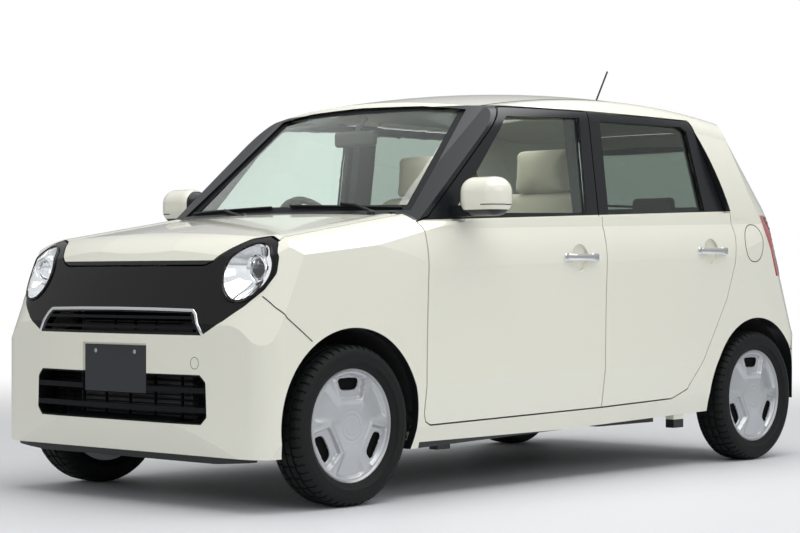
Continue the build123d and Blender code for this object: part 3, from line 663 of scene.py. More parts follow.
class Bench:
    """Modelling by operators on one piece at a time, as by hand."""

    @staticmethod
    def pick(piece: Piece) -> None:
        """Selects one piece alone and makes it the active one."""
        bpy.ops.object.select_all(action="DESELECT")
        piece.select_set(True)
        bpy.context.view_layer.objects.active = piece

    @staticmethod
    def named(name: str) -> Piece:
        """Names the piece that an operator has just added."""
        piece = bpy.context.object
        piece.name = name
        piece.data.name = name
        return piece

    @classmethod
    def settle(cls, piece: Piece) -> Piece:
        """Puts the piece's place, turn and scale into its mesh."""
        cls.pick(piece)
        bpy.ops.object.transform_apply(location=True, rotation=True, scale=True)
        return piece

    @classmethod
    def block(cls, name: str, centre: Sequence[float], size: Sequence[float]) -> Piece:
        """Adds a block of a size at a place.

        Args:
            name: Name of the piece.
            centre: Middle of the block in metres.
            size: Its sides along X, Y and Z.

        Returns:
            The block, with its place in its mesh.
        """
        bpy.ops.object.select_all(action="DESELECT")
        bpy.ops.mesh.primitive_cube_add(size=1.0, location=centre, scale=size)
        return cls.settle(cls.named(name))

    @staticmethod
    def mesh(
        name: str,
        points: Sequence[Sequence[float]],
        edges: Sequence[Sequence[int]],
        faces: Sequence[Sequence[int]],
    ) -> Piece:
        """Makes a mesh piece and links it to the scene.

        Args:
            name: Name of the piece.
            points: Places of its points in metres.
            edges: Edges by the points' numbers.
            faces: Faces by the points' numbers.

        Returns:
            The piece as it was given.
        """
        mesh = bpy.data.meshes.new(name)
        mesh.from_pydata(points, edges, faces)
        piece = bpy.data.objects.new(name, mesh)
        bpy.context.scene.collection.objects.link(piece)
        return piece

    @staticmethod
    def disc(rings: int, steps: int) -> list[tuple[int, ...]]:
        """Gives the faces of a disc of point rings, closed in its middle.

        Args:
            rings: Number of rings, the innermost first.
            steps: Points of each ring.

        Returns:
            Faces by the points' numbers.
        """
        faces: list[tuple[int, ...]] = []
        for ring in range(rings - 1):
            for step in range(steps):
                a, b = ring * steps + step, ring * steps + (step + 1) % steps
                faces.append((a, b, b + steps, a + steps))
        return faces + [tuple(range(steps))]

    @staticmethod
    def tube(count: int, closed: bool = False) -> list[tuple[int, ...]]:
        """Gives the faces of a tube of four-point sections.

        Args:
            count: Number of sections.
            closed: True joins the last section to the first.

        Returns:
            Faces by the points' numbers.
        """
        faces: list[tuple[int, ...]] = []
        for i in range(count if closed else count - 1):
            a, b = 4 * i, 4 * ((i + 1) % count)
            faces += [(a + k, a + (k + 1) % 4, b + (k + 1) % 4, b + k) for k in range(4)]
        if not closed:
            faces += [(0, 1, 2, 3), tuple(4 * (count - 1) + k for k in (3, 2, 1, 0))]
        return faces

    @classmethod
    def modify(cls, piece: Piece, kind: str, **values: object) -> Piece:
        """Adds one modifier and applies it.

        Args:
            piece: The piece to change.
            kind: Kind of the modifier.
            values: Its settings by name.

        Returns:
            The changed piece.
        """
        cls.pick(piece)
        change = piece.modifiers.new(kind.lower(), kind)
        for key, value in values.items():
            setattr(change, key, value)
        bpy.ops.object.modifier_apply(modifier=change.name)
        return piece

    @classmethod
    def rounded(cls, piece: Piece, width: float, segments: int = 3, angle: float = 30.0) -> Piece:
        """Rounds the piece's sharp edges.

        Args:
            piece: The piece to round.
            width: Width of the rounding.
            segments: Steps across it.
            angle: Edges sharper than this are rounded, in degrees.

        Returns:
            The rounded piece.
        """
        limit = math.radians(angle)
        return cls.modify(
            piece, "BEVEL", width=width, segments=segments, limit_method="ANGLE", angle_limit=limit
        )

    @classmethod
    def choose(cls, piece: Piece, test: Callable[[Vector, Vector], bool]) -> None:
        """Selects faces of a piece.

        Args:
            piece: The piece, which is picked.
            test: Says from a face's middle and normal whether it is selected.
        """
        cls.pick(piece)
        mesh = piece.data
        mesh.vertices.foreach_set("select", [False] * len(mesh.vertices))
        mesh.edges.foreach_set("select", [False] * len(mesh.edges))
        mesh.polygons.foreach_set("select", [test(f.center, f.normal) for f in mesh.polygons])

    @classmethod
    def edit(cls, piece: Piece, *steps: Callable[[], object]) -> Piece:
        """Runs steps in edit mode on the faces that are selected.

        Args:
            piece: The piece to edit.
            steps: Calls of edit operators, in order.

        Returns:
            The edited piece.
        """
        bpy.context.view_layer.objects.active = piece
        bpy.ops.object.mode_set(mode="EDIT")
        bpy.ops.mesh.select_mode(type="FACE")
        for step in steps:
            step()
        bpy.ops.object.mode_set(mode="OBJECT")
        return piece

    @classmethod
    def clean(cls, piece: Piece) -> Piece:
        """Merges doubles and turns all faces outwards.

        Args:
            piece: The piece to clean.

        Returns:
            The cleaned piece.
        """
        cls.pick(piece)
        return cls.edit(
            piece,
            lambda: bpy.ops.mesh.select_all(action="SELECT"),
            lambda: bpy.ops.mesh.remove_doubles(threshold=0.00002),
            lambda: bpy.ops.mesh.normals_make_consistent(inside=False),
        )

    @classmethod
    def facing(cls, piece: Piece, towards: Sequence[float]) -> Piece:
        """Turns an open piece's faces round where most of them look away.

        Args:
            piece: The open piece.
            towards: Direction that its faces should look in.

        Returns:
            The same piece.
        """
        look = Vector(towards)
        if sum(f.normal.dot(look) * f.area for f in piece.data.polygons) < 0:
            cls.choose(piece, lambda middle, normal: True)
            cls.edit(piece, bpy.ops.mesh.flip_normals)
        return piece

    @classmethod
    def sunk_face(cls, piece: Piece, border: float, depth: float) -> None:
        """Sinks a field into the faces that look backwards.

        Args:
            piece: The piece, which is changed.
            border: Width that stays round the field.
            depth: Depth of the field.
        """
        sink = {"value": -depth}
        cls.choose(piece, lambda middle, normal: normal.x < -0.95)
        cls.edit(
            piece,
            lambda: bpy.ops.mesh.inset(thickness=border),
            lambda: bpy.ops.mesh.extrude_region_shrink_fatten(TRANSFORM_OT_shrink_fatten=sink),
        )

    @classmethod
    def turned(
        cls,
        name: str,
        line: Sequence[Flat],
        centre: Sequence[float],
        axis: Sequence[float],
        steps: int,
    ) -> Piece:
        """Spins an outline round an axis.

        Args:
            name: Name of the piece.
            line: Pairs of distance along the axis and radius.
            centre: Point on the axis where the distance is 0.
            axis: Direction of the axis.
            steps: Steps of the full turn.

        Returns:
            The turned piece.
        """
        turn = Vector(axis).to_track_quat("Z", "Y").to_matrix().to_4x4()
        place = Matrix.Translation(centre) @ turn
        points = [place @ Vector((r, 0.0, h)) for h, r in line]
        piece = cls.mesh(name, points, [(i, i + 1) for i in range(len(line) - 1)], [])
        cls.pick(piece)
        bpy.ops.object.mode_set(mode="EDIT")
        bpy.ops.mesh.select_all(action="SELECT")
        along = tuple(Vector(axis).normalized())
        bpy.ops.mesh.spin(steps=steps, angle=math.tau, center=tuple(centre), axis=along)
        bpy.ops.object.mode_set(mode="OBJECT")
        return cls.clean(piece)

    @classmethod
    def rod(cls, name: str, points: Sequence[Sequence[float]], radius: float, fine: int = 3) -> Piece:
        """Runs a round rod along points and makes it a mesh.

        Args:
            name: Name of the piece.
            points: Points of its middle line.
            radius: Radius of the rod.
            fine: Steps of a quarter of its round.

        Returns:
            The rod with closed ends.
        """
        curve = bpy.data.curves.new(name, "CURVE")
        curve.dimensions = "3D"
        curve.bevel_depth = radius
        curve.bevel_resolution = fine
        curve.use_fill_caps = True
        spline = curve.splines.new("POLY")
        spline.points.add(len(points) - 1)
        for knot, point in zip(spline.points, points):
            knot.co = (*point, 1.0)
        piece = bpy.data.objects.new(name, curve)
        bpy.context.scene.collection.objects.link(piece)
        cls.pick(piece)
        bpy.ops.object.convert(target="MESH")
        return cls.clean(bpy.context.object)

    @classmethod
    def joined(cls, name: str, pieces: Sequence[Piece]) -> Piece:
        """Joins pieces into one object of that name.

        Args:
            name: Name of the joined piece.
            pieces: The pieces, the first of which takes up the others.

        Returns:
            The joined piece.
        """
        bpy.ops.object.select_all(action="DESELECT")
        for piece in pieces:
            piece.select_set(True)
        bpy.context.view_layer.objects.active = pieces[0]
        bpy.ops.object.join()
        return cls.named(name)

    @classmethod
    def finish(
        cls, piece: Piece, finish: Finish | None, body: str, slot: str, angle: float = 32.0
    ) -> Piece:
        """Smooths a piece, gives it its finish and lets it ride on a body.

        Args:
            piece: The modelled piece.
            finish: Its finish, or None where it already has materials.
            body: CAD body it moves with.
            slot: Material slot of the record; not used.
            angle: Edges sharper than this stay sharp.

        Returns:
            The finished piece.
        """
        cls.pick(piece)
        bpy.ops.object.shade_smooth_by_angle(angle=math.radians(angle))
        if finish:
            piece.data.materials.clear()
            piece.data.materials.append(finish.material())
        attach(piece, body)
        LOG.info("piece %s rides on %s", piece.name, body)
        return piece


class Skin:
    """The outer faces of some CAD nodes, to lay trim on."""

    def __init__(self, *nodes: Piece) -> None:
        """Gathers the nodes' triangles in one search tree.

        Args:
            nodes: The CAD nodes whose faces are searched.
        """
        points: list[Vector] = []
        faces: list[tuple[int, ...]] = []
        for node in nodes:
            start = len(points)
            points += [v.co.copy() for v in node.data.vertices]
            faces += [tuple(start + i for i in f.vertices) for f in node.data.polygons]
        self.tree = BVHTree.FromPolygons(points, faces)

    def hit(self, origin: Sequence[float], towards: Sequence[float]) -> Spot | None:
        """Finds where a straight line from outside meets the skin.

        Args:
            origin: Start of the line.
            towards: Its direction.

        Returns:
            The point and its outward normal, or None.
        """
        place, normal, _, _ = self.tree.ray_cast(Vector(origin), Vector(towards))
        if place is None:
            return None
        if normal.dot(Vector(towards)) > 0:
            normal = -normal
        return place, normal

    def route(
        self, flat: Sequence[Flat], view: str, side: int = 1, pitch: float = 0.012, closed: bool = False
    ) -> list[Spot]:
        """Lays a flat outline on the skin.

        Args:
            flat: Outline seen from the side (x, z), the front (y, z), the back (y, z) or above (x, y).
            view: One of side, front, back and above.
            side: 1 for the left side of the car, -1 for the right.
            pitch: Distance between points.
            closed: True joins the last point to the first.

        Returns:
            Pairs of point and normal that were found.
        """
        ends = list(flat) + ([flat[0]] if closed else [])
        found = []
        for (a0, b0), (a1, b1) in zip(ends, ends[1:]):
            count = max(int(math.hypot(a1 - a0, b1 - b0) / pitch), 1)
            for i in range(count):
                a, b = a0 + (a1 - a0) * i / count, b0 + (b1 - b0) * i / count
                found.append(self._drop(a, b, view, side))
        if not closed:
            found.append(self._drop(*flat[-1], view, side))
        return [pair for pair in found if pair]

    def _drop(self, a: float, b: float, view: str, side: int) -> Spot | None:
        """Drops one flat point on the skin.

        Args:
            a: First measure in the view.
            b: Second measure in the view.
            view: One of side, front, back and above.
            side: 1 for the left side of the car, -1 for the right.

        Returns:
            The point and its normal, or None where the skin is missed.
        """
        if view == "side":
            return self.hit((a, side * 2.0, b), (0, -side, 0))
        if view == "front":
            return self.hit((3.0, a * side, b), (-1, 0, 0))
        if view == "back":
            return self.hit((-3.0, a * side, b), (1, 0, 0))
        return self.hit((a, b * side, 3.0), (0, 0, -1))

    @staticmethod
    def ribbon(
        name: str, route: Sequence[Spot], width: float, lift: float, sink: float, closed: bool = False
    ) -> Piece:
        """Makes a flat strip along a route on the skin.

        Args:
            name: Name of the piece.
            route: Pairs of point and normal.
            width: Width of the strip.
            lift: Height of its top above the skin.
            sink: Depth of its foot below the skin.
            closed: True for a ring.

        Returns:
            The strip as a closed mesh.
        """
        count = len(route)
        points: list[Vector] = []
        for i, (place, normal) in enumerate(route):
            before = route[i - 1][0] if i or closed else place
            after = route[(i + 1) % count][0] if i + 1 < count or closed else place
            across = (after - before).cross(normal).normalized() * (width / 2)
            top, foot = place + normal * lift, place - normal * sink
            points += [top - across, top + across, foot + across, foot - across]
        return Bench.clean(Bench.mesh(name, points, [], Bench.tube(count, closed)))


@dataclass
class Wheels:
    """Tyres with tread and three-slot wheel covers, one pair at each corner."""

    half_track: float = 0.6525
    steps: int = 216
    cover_radius: float = 0.1890
    cover_face: float = 0.050
    pocket_depth: float = 0.013
    slot_depth: float = 0.013
    lobe_depth: float = 0.012
    crown: float = 0.007
    ridge_height: float = 0.004
    ring_height: float = 0.0013
    ring_width: float = 0.0026
    slot_middle: float = 0.143
    slot_reach: float = 0.0205
    groove_depth: float = 0.004
    cover_rings: int = 80
    cover_steps: int = 288
    rim_steps: int = 96
    hub_rings: tuple[float, ...] = (0.036, 0.053)
    tyre_half: tuple[Flat, ...] = (
        (0.050, 0.1900), (0.0560, 0.1985), (0.0605, 0.2020), (0.0640, 0.2090), (0.0700, 0.2180),
        (0.0745, 0.2195), (0.0770, 0.2300), (0.0752, 0.2400), (0.0765, 0.2425), (0.0745, 0.2525),
        (0.0690, 0.2645), (0.0610, 0.2715), (0.0520, 0.2760), (0.0345, 0.2772), (0.0340, 0.2710),
        (0.0270, 0.2710), (0.0265, 0.2776), (0.0045, 0.2779), (0.0040, 0.2715),
    )
    barrel: tuple[Flat, ...] = (
        (0.0500, 0.1885), (0.0545, 0.1915), (0.0570, 0.1955), (0.0545, 0.1985), (0.0490, 0.1970),
        (0.0400, 0.1890), (-0.0400, 0.1890), (-0.0550, 0.1950), (-0.0550, 0.1700), (0.0300, 0.1690),
        (0.0330, 0.1670),
    )

    def build(self) -> None:
        """Builds the four tyres and the four covers."""
        for axle, x in AXLES.items():
            for side, sign in SIDES.items():
                corner = f"{axle}_{side}"
                hub = Vector((x, sign * self.half_track, HUB_HEIGHT))
                self._tyre(corner, hub, sign)
                self._cover(corner, hub, sign)

    def _tyre(self, corner: str, hub: Vector, sign: int) -> None:
        """Spins the tyre's section and cuts its cross grooves.

        Args:
            corner: Axle and side of the wheel.
            hub: Middle of the wheel.
            sign: 1 for the left side of the car, -1 for the right.
        """
        line = list(self.tyre_half) + [(-w, r) for w, r in reversed(self.tyre_half)]
        tyre = Bench.turned(f"tread_{corner}", line, hub, (0, sign, 0), self.steps)

        def on_groove(middle: Vector, normal: Vector) -> bool:
            """Says whether a face of the tread lies in a cross groove.

            Args:
                middle: Middle of the face.
                normal: Its outward direction.

            Returns:
                True in a groove.
            """
            step = math.floor(math.atan2(middle.z - hub.z, middle.x - hub.x) / math.tau * self.steps)
            away = abs(middle.y - hub.y)
            reach = math.hypot(middle.x - hub.x, middle.z - hub.z)
            if reach < 0.262 or reach > 0.2785:
                return False
            if away > 0.036:
                return step % 4 == 0 and normal.y ** 2 < 0.8
            return 0.006 < away < 0.026 and step % 6 == 1

        Bench.choose(tyre, on_groove)
        sink = {"value": -self.groove_depth, "use_even_offset": True}
        Bench.edit(
            tyre,
            lambda: bpy.ops.mesh.extrude_region_shrink_fatten(TRANSFORM_OT_shrink_fatten=sink),
        )
        Bench.finish(tyre, RUBBER, f"wheel_{corner}", "tyre", 40)
        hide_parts(f"tyre_{corner}")

    def _height(self, radius: float, angle: float) -> float:
        """Gives the cover's height over its flat face.

        Args:
            radius: Distance from the hub.
            angle: Angle from the top of the wheel, in radians.

        Returns:
            Height outwards in metres.
        """
        third = math.tau / 3
        turn = (angle + third / 2) % third - third / 2
        across, out = abs(radius * math.sin(turn)), radius * math.cos(turn)
        half = 0.050 + 0.027 * min(max((out - 0.089) / 0.088, 0.0), 1.0)
        rim = 1 - self._ease(radius, 0.172, 0.183)
        pocket = 1 - self._ease(across, half - 0.006, half + 0.004)
        pocket = pocket * self._ease(out, 0.088, 0.099) * rim
        ridge = 1 - self._ease(across, half + 0.002, half + 0.020)
        ridge = ridge * self._ease(out, 0.072, 0.088) * rim
        height = self.crown * (1 - (radius / self.cover_radius) ** 2)
        height += self.ridge_height * ridge * (1 - pocket) - self.pocket_depth * pocket
        height -= self.slot_depth * self._slot(across, out)
        aside = radius * math.sin(third / 2 - abs(turn))
        along = radius * math.cos(third / 2 - abs(turn))
        wide = 0.032 + 0.042 * self._ease(along, 0.05, 0.18)
        lobe = 1 - self._ease(aside, wide - 0.024, wide + 0.004)
        height -= self.lobe_depth * (lobe * self._ease(along, 0.050, 0.165) * rim)
        near = max(max(0.0, 1 - abs(radius - ring) / self.ring_width) for ring in self.hub_rings)
        return height + self.ring_height * near

    @staticmethod
    def _ease(value: float, start: float, end: float) -> float:
        """Rises smoothly from 0 at the start to 1 at the end."""
        share = min(max((value - start) / (end - start), 0.0), 1.0)
        return share * share * (3 - 2 * share)

    def _slot(self, across: float, out: float) -> float:
        """Gives 1 inside the rounded slot of a pocket and 0 outside it."""
        wide = 0.046 + 0.3 * (out - self.slot_middle)
        inside = (across / wide) ** 4 + (abs(out - self.slot_middle) / self.slot_reach) ** 4
        return 1 - self._ease(inside, 0.65, 1.2)

    def _cover(self, corner: str, hub: Vector, sign: int) -> None:
        """Spins the cover's disc, presses its form in and adds the rim.

        Args:
            corner: Axle and side of the wheel.
            hub: Middle of the wheel.
            sign: 1 for the left side of the car, -1 for the right.
        """
        count = self.cover_rings
        radii = [0.0006] + [self.cover_radius * i / count for i in range(1, count + 1)]
        face = [(self.cover_face, radius) for radius in radii]
        cover = Bench.turned(f"cover_face_{corner}", face, hub, (0, sign, 0), self.cover_steps)
        for vertex in cover.data.vertices:
            dx, dz = vertex.co.x - hub.x, vertex.co.z - hub.z
            vertex.co.y += sign * self._height(math.hypot(dx, dz), math.atan2(dx, dz))
        cover.data.materials.append(SILVER.material())
        Bench.facing(cover, (0, sign, 0))
        rim = Bench.turned(f"rim_{corner}", self.barrel, hub, (0, sign, 0), self.rim_steps)
        rim.data.materials.append(STEEL.material())
        wheel = Bench.joined(f"wheel_cover_{corner}", [cover, rim])
        Bench.finish(wheel, None, f"wheel_{corner}", "wheel_rim", 40)
        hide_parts(f"wheel_{corner}")


@dataclass
class Lamps:
    """Head lamps with bowl, projector, surround and clear lens."""

    centre: Flat = (0.555, 0.805)
    radii: Flat = (0.0925, 0.0985)
    hole: Flat = (0.546, 0.801)
    hole_radii: Flat = (0.084, 0.099)
    eye: Flat = (0.574, 0.814)
    rings: int = 14
    steps: int = 64
    rim_steps: int = 96
    bowl_depth: float = 0.075
    eye_depth: float = 0.040
    dome: tuple[Flat, ...] = (
        (0.022, 0.0005), (0.021, 0.009), (0.017, 0.018), (0.010, 0.026), (0.0, 0.031),
    )
    cup: tuple[Flat, ...] = (
        (-0.012, 0.026), (0.0, 0.0315), (0.006, 0.034), (0.012, 0.038), (0.016, 0.045), (0.013, 0.049),
        (0.0, 0.050), (-0.02, 0.046),
    )

    def build(self, nodes: Nodes) -> None:
        """Builds both head lamps on the skin of the CAD lamps.

        Args:
            nodes: The CAD nodes by name.
        """
        skin = Skin(nodes["headlamps"], nodes["grille_mask"])
        lenses, bowls, rims, eyes, cups = [], [], [], [], []
        for side, sign in SIDES.items():
            lenses.append(self._dish(f"lens_{side}", skin, sign, 1.0, 0.004, 0.0))
            Bench.modify(lenses[-1], "SOLIDIFY", thickness=0.003, offset=-1.0)
            bowls.append(self._dish(f"bowl_{side}", skin, sign, 0.97, 0.0006, self.bowl_depth))
            rims.append(self._rim(side, skin, sign))
            eye, cup = self._projector(side, skin, sign)
            eyes.append(eye)
            cups.append(cup)
        lens = Bench.joined("headlamp_lenses", lenses)
        Bench.finish(lens, LAMP_GLASS, "body", "lamp_clear", 60)
        Bench.finish(Bench.joined("headlamp_bowls", bowls), CHROME, "body", "bright_handle", 60)
        Bench.finish(Bench.joined("headlamp_surrounds", rims), GLOSS_BLACK, "body", "black_gloss", 40)
        Bench.finish(Bench.joined("headlamp_projectors", eyes), LAMP_GLASS, "body", "lamp_clear", 60)
        Bench.finish(Bench.joined("headlamp_projector_cups", cups), CHROME, "body", "bright_handle", 40)
        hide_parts("headlamps")

    def _spot(self, skin: Skin, sign: int, share: float, angle: float) -> Spot:
        """Finds the point of the lamp's outline at a share of its size.

        Args:
            skin: Outer faces of the nose.
            sign: 1 for the left lamp, -1 for the right.
            share: Share of the outline's radii.
            angle: Angle round the lamp's middle, in radians.

        Returns:
            The point and its normal, a little further in where the skin is missed.
        """
        y = self.centre[0] + share * self.radii[0] * math.cos(angle)
        z = self.centre[1] + share * self.radii[1] * math.sin(angle)
        found = skin.hit((3.0, sign * y, z), (-1, 0, 0))
        if found is None:
            return self._spot(skin, sign, share - 0.02, angle)
        return found

    def _dish(self, name: str, skin: Skin, sign: int, reach: float, lift: float, depth: float) -> Piece:
        """Makes a dish that starts on the lamp's skin and sinks in towards its middle.

        Args:
            name: Name of the piece.
            skin: Outer faces of the nose.
            sign: 1 for the left lamp, -1 for the right.
            reach: Share of the lamp's outline that it fills.
            lift: Height of its edge over the skin.
            depth: Depth of its middle.

        Returns:
            The open dish, facing forwards.
        """
        points: list[Vector] = []
        for ring in range(self.rings + 1):
            share = max(ring / self.rings, 0.01) * reach
            for step in range(self.steps):
                place, _ = self._spot(skin, sign, share, math.tau * step / self.steps)
                points.append(place + Vector((lift - depth * self._sink(place), 0, 0)))
        dish = Bench.mesh(name, points, [], Bench.disc(self.rings + 1, self.steps))
        return Bench.facing(Bench.clean(dish), (1, 0, 0))

    def _sink(self, place: Vector) -> float:
        """Gives how far the bowl is sunk at a point, from 0 at the hole's edge to 1."""
        across = (abs(place.y) - self.hole[0]) / self.hole_radii[0]
        up = (place.z - self.hole[1]) / self.hole_radii[1]
        return max(0.0, 1.0 - across ** 2 - up ** 2)

    def _rim(self, side: str, skin: Skin, sign: int) -> Piece:
        """Makes the black surround just inside the lens."""
        turns = [math.tau * step / self.rim_steps for step in range(self.rim_steps)]
        route = [self._spot(skin, sign, 1.0, turn) for turn in turns]
        rim = Skin.ribbon(f"surround_{side}", route, 0.009, 0.006, 0.004, closed=True)
        return Bench.rounded(rim, 0.002, 2)

    def _projector(self, side: str, skin: Skin, sign: int) -> tuple[Piece, Piece]:
        """Makes the projector's glass dome and its bright cup.

        Args:
            side: Left or right.
            skin: Outer faces of the nose.
            sign: 1 for the left lamp, -1 for the right.

        Returns:
            The dome and the cup.
        """
        found = skin.hit((3.0, sign * self.eye[0], self.eye[1]), (-1, 0, 0))
        heart = found[0] + Vector((-self.eye_depth, 0, 0))
        eye = Bench.turned(f"projector_{side}", self.dome, heart, (1, 0, 0), 48)
        cup = Bench.turned(f"projector_cup_{side}", self.cup, heart, (1, 0, 0), 48)
        Bench.modify(cup, "SOLIDIFY", thickness=0.0015, offset=-1.0)
        return eye, cup


@dataclass
class FrontTrim:
    """Bright grille strip, grille fins, plate screws, tow cap, and the dark lip, which is partly painted
    shade under the bumper.
    """

    strip: tuple[Flat, ...] = (
        (-0.438, 0.594), (-0.414, 0.632), (-0.396, 0.662), (-0.380, 0.675), (-0.200, 0.678), (0.0, 0.679),
        (0.200, 0.678), (0.380, 0.675), (0.396, 0.662), (0.414, 0.632), (0.438, 0.594),
    )
    strip_width: float = 0.011
    plate_face: float = 1.6890
    screw_y: float = 0.105
    screw_z: float = 0.530
    tow_cap: Flat = (0.402, 0.498)
    mouth: tuple[Flat, ...] = (
        (-0.430, 0.290), (0.430, 0.290), (0.455, 0.315), (0.450, 0.435), (0.425, 0.458), (-0.425, 0.458),
        (-0.450, 0.435), (-0.455, 0.315),
    )
    mouth_level: float = 0.374
    # Size of the dark lip, which also stands for the painted shade under the bumper.
    lip_shade_half: float = 0.62
    lip_shade_low: float = 0.158
    lip_shade_top: float = 0.196
    nose_curve: float = 0.12
    fin_pitch: float = 0.016

    def build(self, nodes: Nodes) -> None:
        """Builds the front trim on the skin of the nose.

        Args:
            nodes: The CAD nodes by name.
        """
        nose = Skin(nodes["grille_mask"], nodes["front_bumper"], nodes["headlamps"])
        route = nose.route(self.strip, "front")
        strip = Skin.ribbon("grille_strip", route, self.strip_width, 0.005, 0.004)
        Bench.finish(Bench.rounded(strip, 0.002, 2), CHROME, "body", "bright_handle", 50)
        self._fins("upper_grille_fins", 0.604, 0.668, 0.355, 1.600)
        self._fins("lower_grille_fins", 0.292, 0.456, 0.425, 1.625)
        self._screws()
        self._tow_cap(nose)
        self._mouth(nose)
        self._lip(nose)

    def _fins(self, name: str, low: float, high: float, half: float, face: float) -> None:
        """Sets thin level and upright fins behind a grille opening.

        Args:
            name: Name of the piece.
            low: Lower edge of the opening.
            high: Upper edge of the opening.
            half: Half width of the opening.
            face: Place of the fins along the car, at its middle.
        """
        fins = []
        middle_z, tall = (low + high) / 2, high - low
        rows = int(tall / self.fin_pitch)
        for row in range(rows):
            z = low + (row + 0.5) * tall / rows
            across = [half * step / 4 for step in range(-4, 5)]
            spots = [(face - self.nose_curve * y ** 2, y, z) for y in across]
            fins.append(Bench.rod(f"{name}_row_{row}", spots, 0.0026, fine=1))
        for column in range(-3, 4):
            y = half * column / 3.2
            centre = (face - self.nose_curve * y * y - 0.006, y, middle_z)
            fins.append(Bench.block(f"{name}_post_{column}", centre, (0.010, 0.006, tall)))
        back = Bench.block(f"{name}_back", (face - 0.05, 0, middle_z), (0.006, 2 * half, tall + 0.02))
        Bench.choose(back, lambda middle, normal: normal.x > 0.9)
        Bench.edit(back, lambda: bpy.ops.mesh.subdivide(number_cuts=6))
        for vertex in back.data.vertices:
            vertex.co.x -= self.nose_curve * vertex.co.y ** 2
        Bench.finish(Bench.joined(name, fins + [back]), GRILLE_BLACK, "body", "black_plastic")

    def _screws(self) -> None:
        """Adds the two plate screws."""
        line = ((0.0, 0.0075), (0.0012, 0.0078), (0.0026, 0.0066), (0.0034, 0.0040), (0.0036, 0.0004))
        screws = []
        for side, sign in SIDES.items():
            centre = (self.plate_face, sign * self.screw_y, self.screw_z)
            screws.append(Bench.turned(f"plate_screw_{side}", line, centre, (1, 0, 0), 24))
        Bench.finish(Bench.joined("plate_screws", screws), STEEL, "body", "bright_handle", 40)

    def _tow_cap(self, nose: Skin) -> None:
        """Draws the round tow cap as a fine groove on the bumper.

        Args:
            nose: Outer faces of the nose.
        """
        turns = [math.tau * i / 40 for i in range(40)]
        y, z = self.tow_cap
        ring = [(y + 0.018 * math.cos(turn), z + 0.020 * math.sin(turn)) for turn in turns]
        route = nose.route(ring, "front", closed=True)
        groove = Skin.ribbon("tow_cap_groove", route, 0.0016, 0.0004, 0.002, closed=True)
        Bench.finish(groove, SEAM, "body", "black_plastic")

    def _mouth(self, nose: Skin) -> None:
        """Lines the lower grille's opening with a dark frame.

        Args:
            nose: Outer faces of the nose.
        """
        middle = Vector((0.0, self.mouth_level))
        grow = Vector((1.012, 1.05))
        outer = [tuple(middle + (Vector(p) - middle) * grow) for p in self.mouth]
        route = []
        for place, normal in nose.route(outer, "front", closed=True):
            step = Vector((0.0, 0.0, 0.0))
            if abs(place.y) > 0.41:
                step.y = -math.copysign(0.0065, place.y)
            if abs(middle.y - place.z) > 0.055:
                step.z = math.copysign(0.0075, middle.y - place.z)
            route.append((place + step, normal))
        frame = Skin.ribbon("grille_frame", route, 0.004, 0.001, 0.050, closed=True)
        Bench.finish(frame, GRILLE_BLACK, "body", "black_plastic", 40)

    def _lip(self, nose: Skin) -> None:
        """Hangs the dark lip under the bumper: partly the dark parts that hang there, partly painted shade
        along the bumper's lower edge.

        Args:
            nose: Outer faces of the nose.
        """
        # A dark strip along the whole lower edge, partly painted shade under the bumper.
        flat = [(-self.lip_shade_half + 2 * self.lip_shade_half * i / 60, 0.200) for i in range(61)]
        points: list[Point] = []
        for place, _ in nose.route(flat, "front", pitch=1.0):
            foot = self.lip_shade_low + 0.012 * max(0.0, abs(place.y) / self.lip_shade_half - 0.75) * 4
            for x, z in ((-0.012, self.lip_shade_top), (-0.022, foot), (-0.060, foot), (-0.060, self.lip_shade_top)):
                points.append((place.x + x, place.y, z))
        lip = Bench.mesh("front_lip_and_shade", points, [], Bench.tube(len(points) // 4))
        Bench.rounded(Bench.clean(lip), 0.003, 2)
        Bench.finish(lip, SATIN_BLACK, "body", "black_plastic", 40)


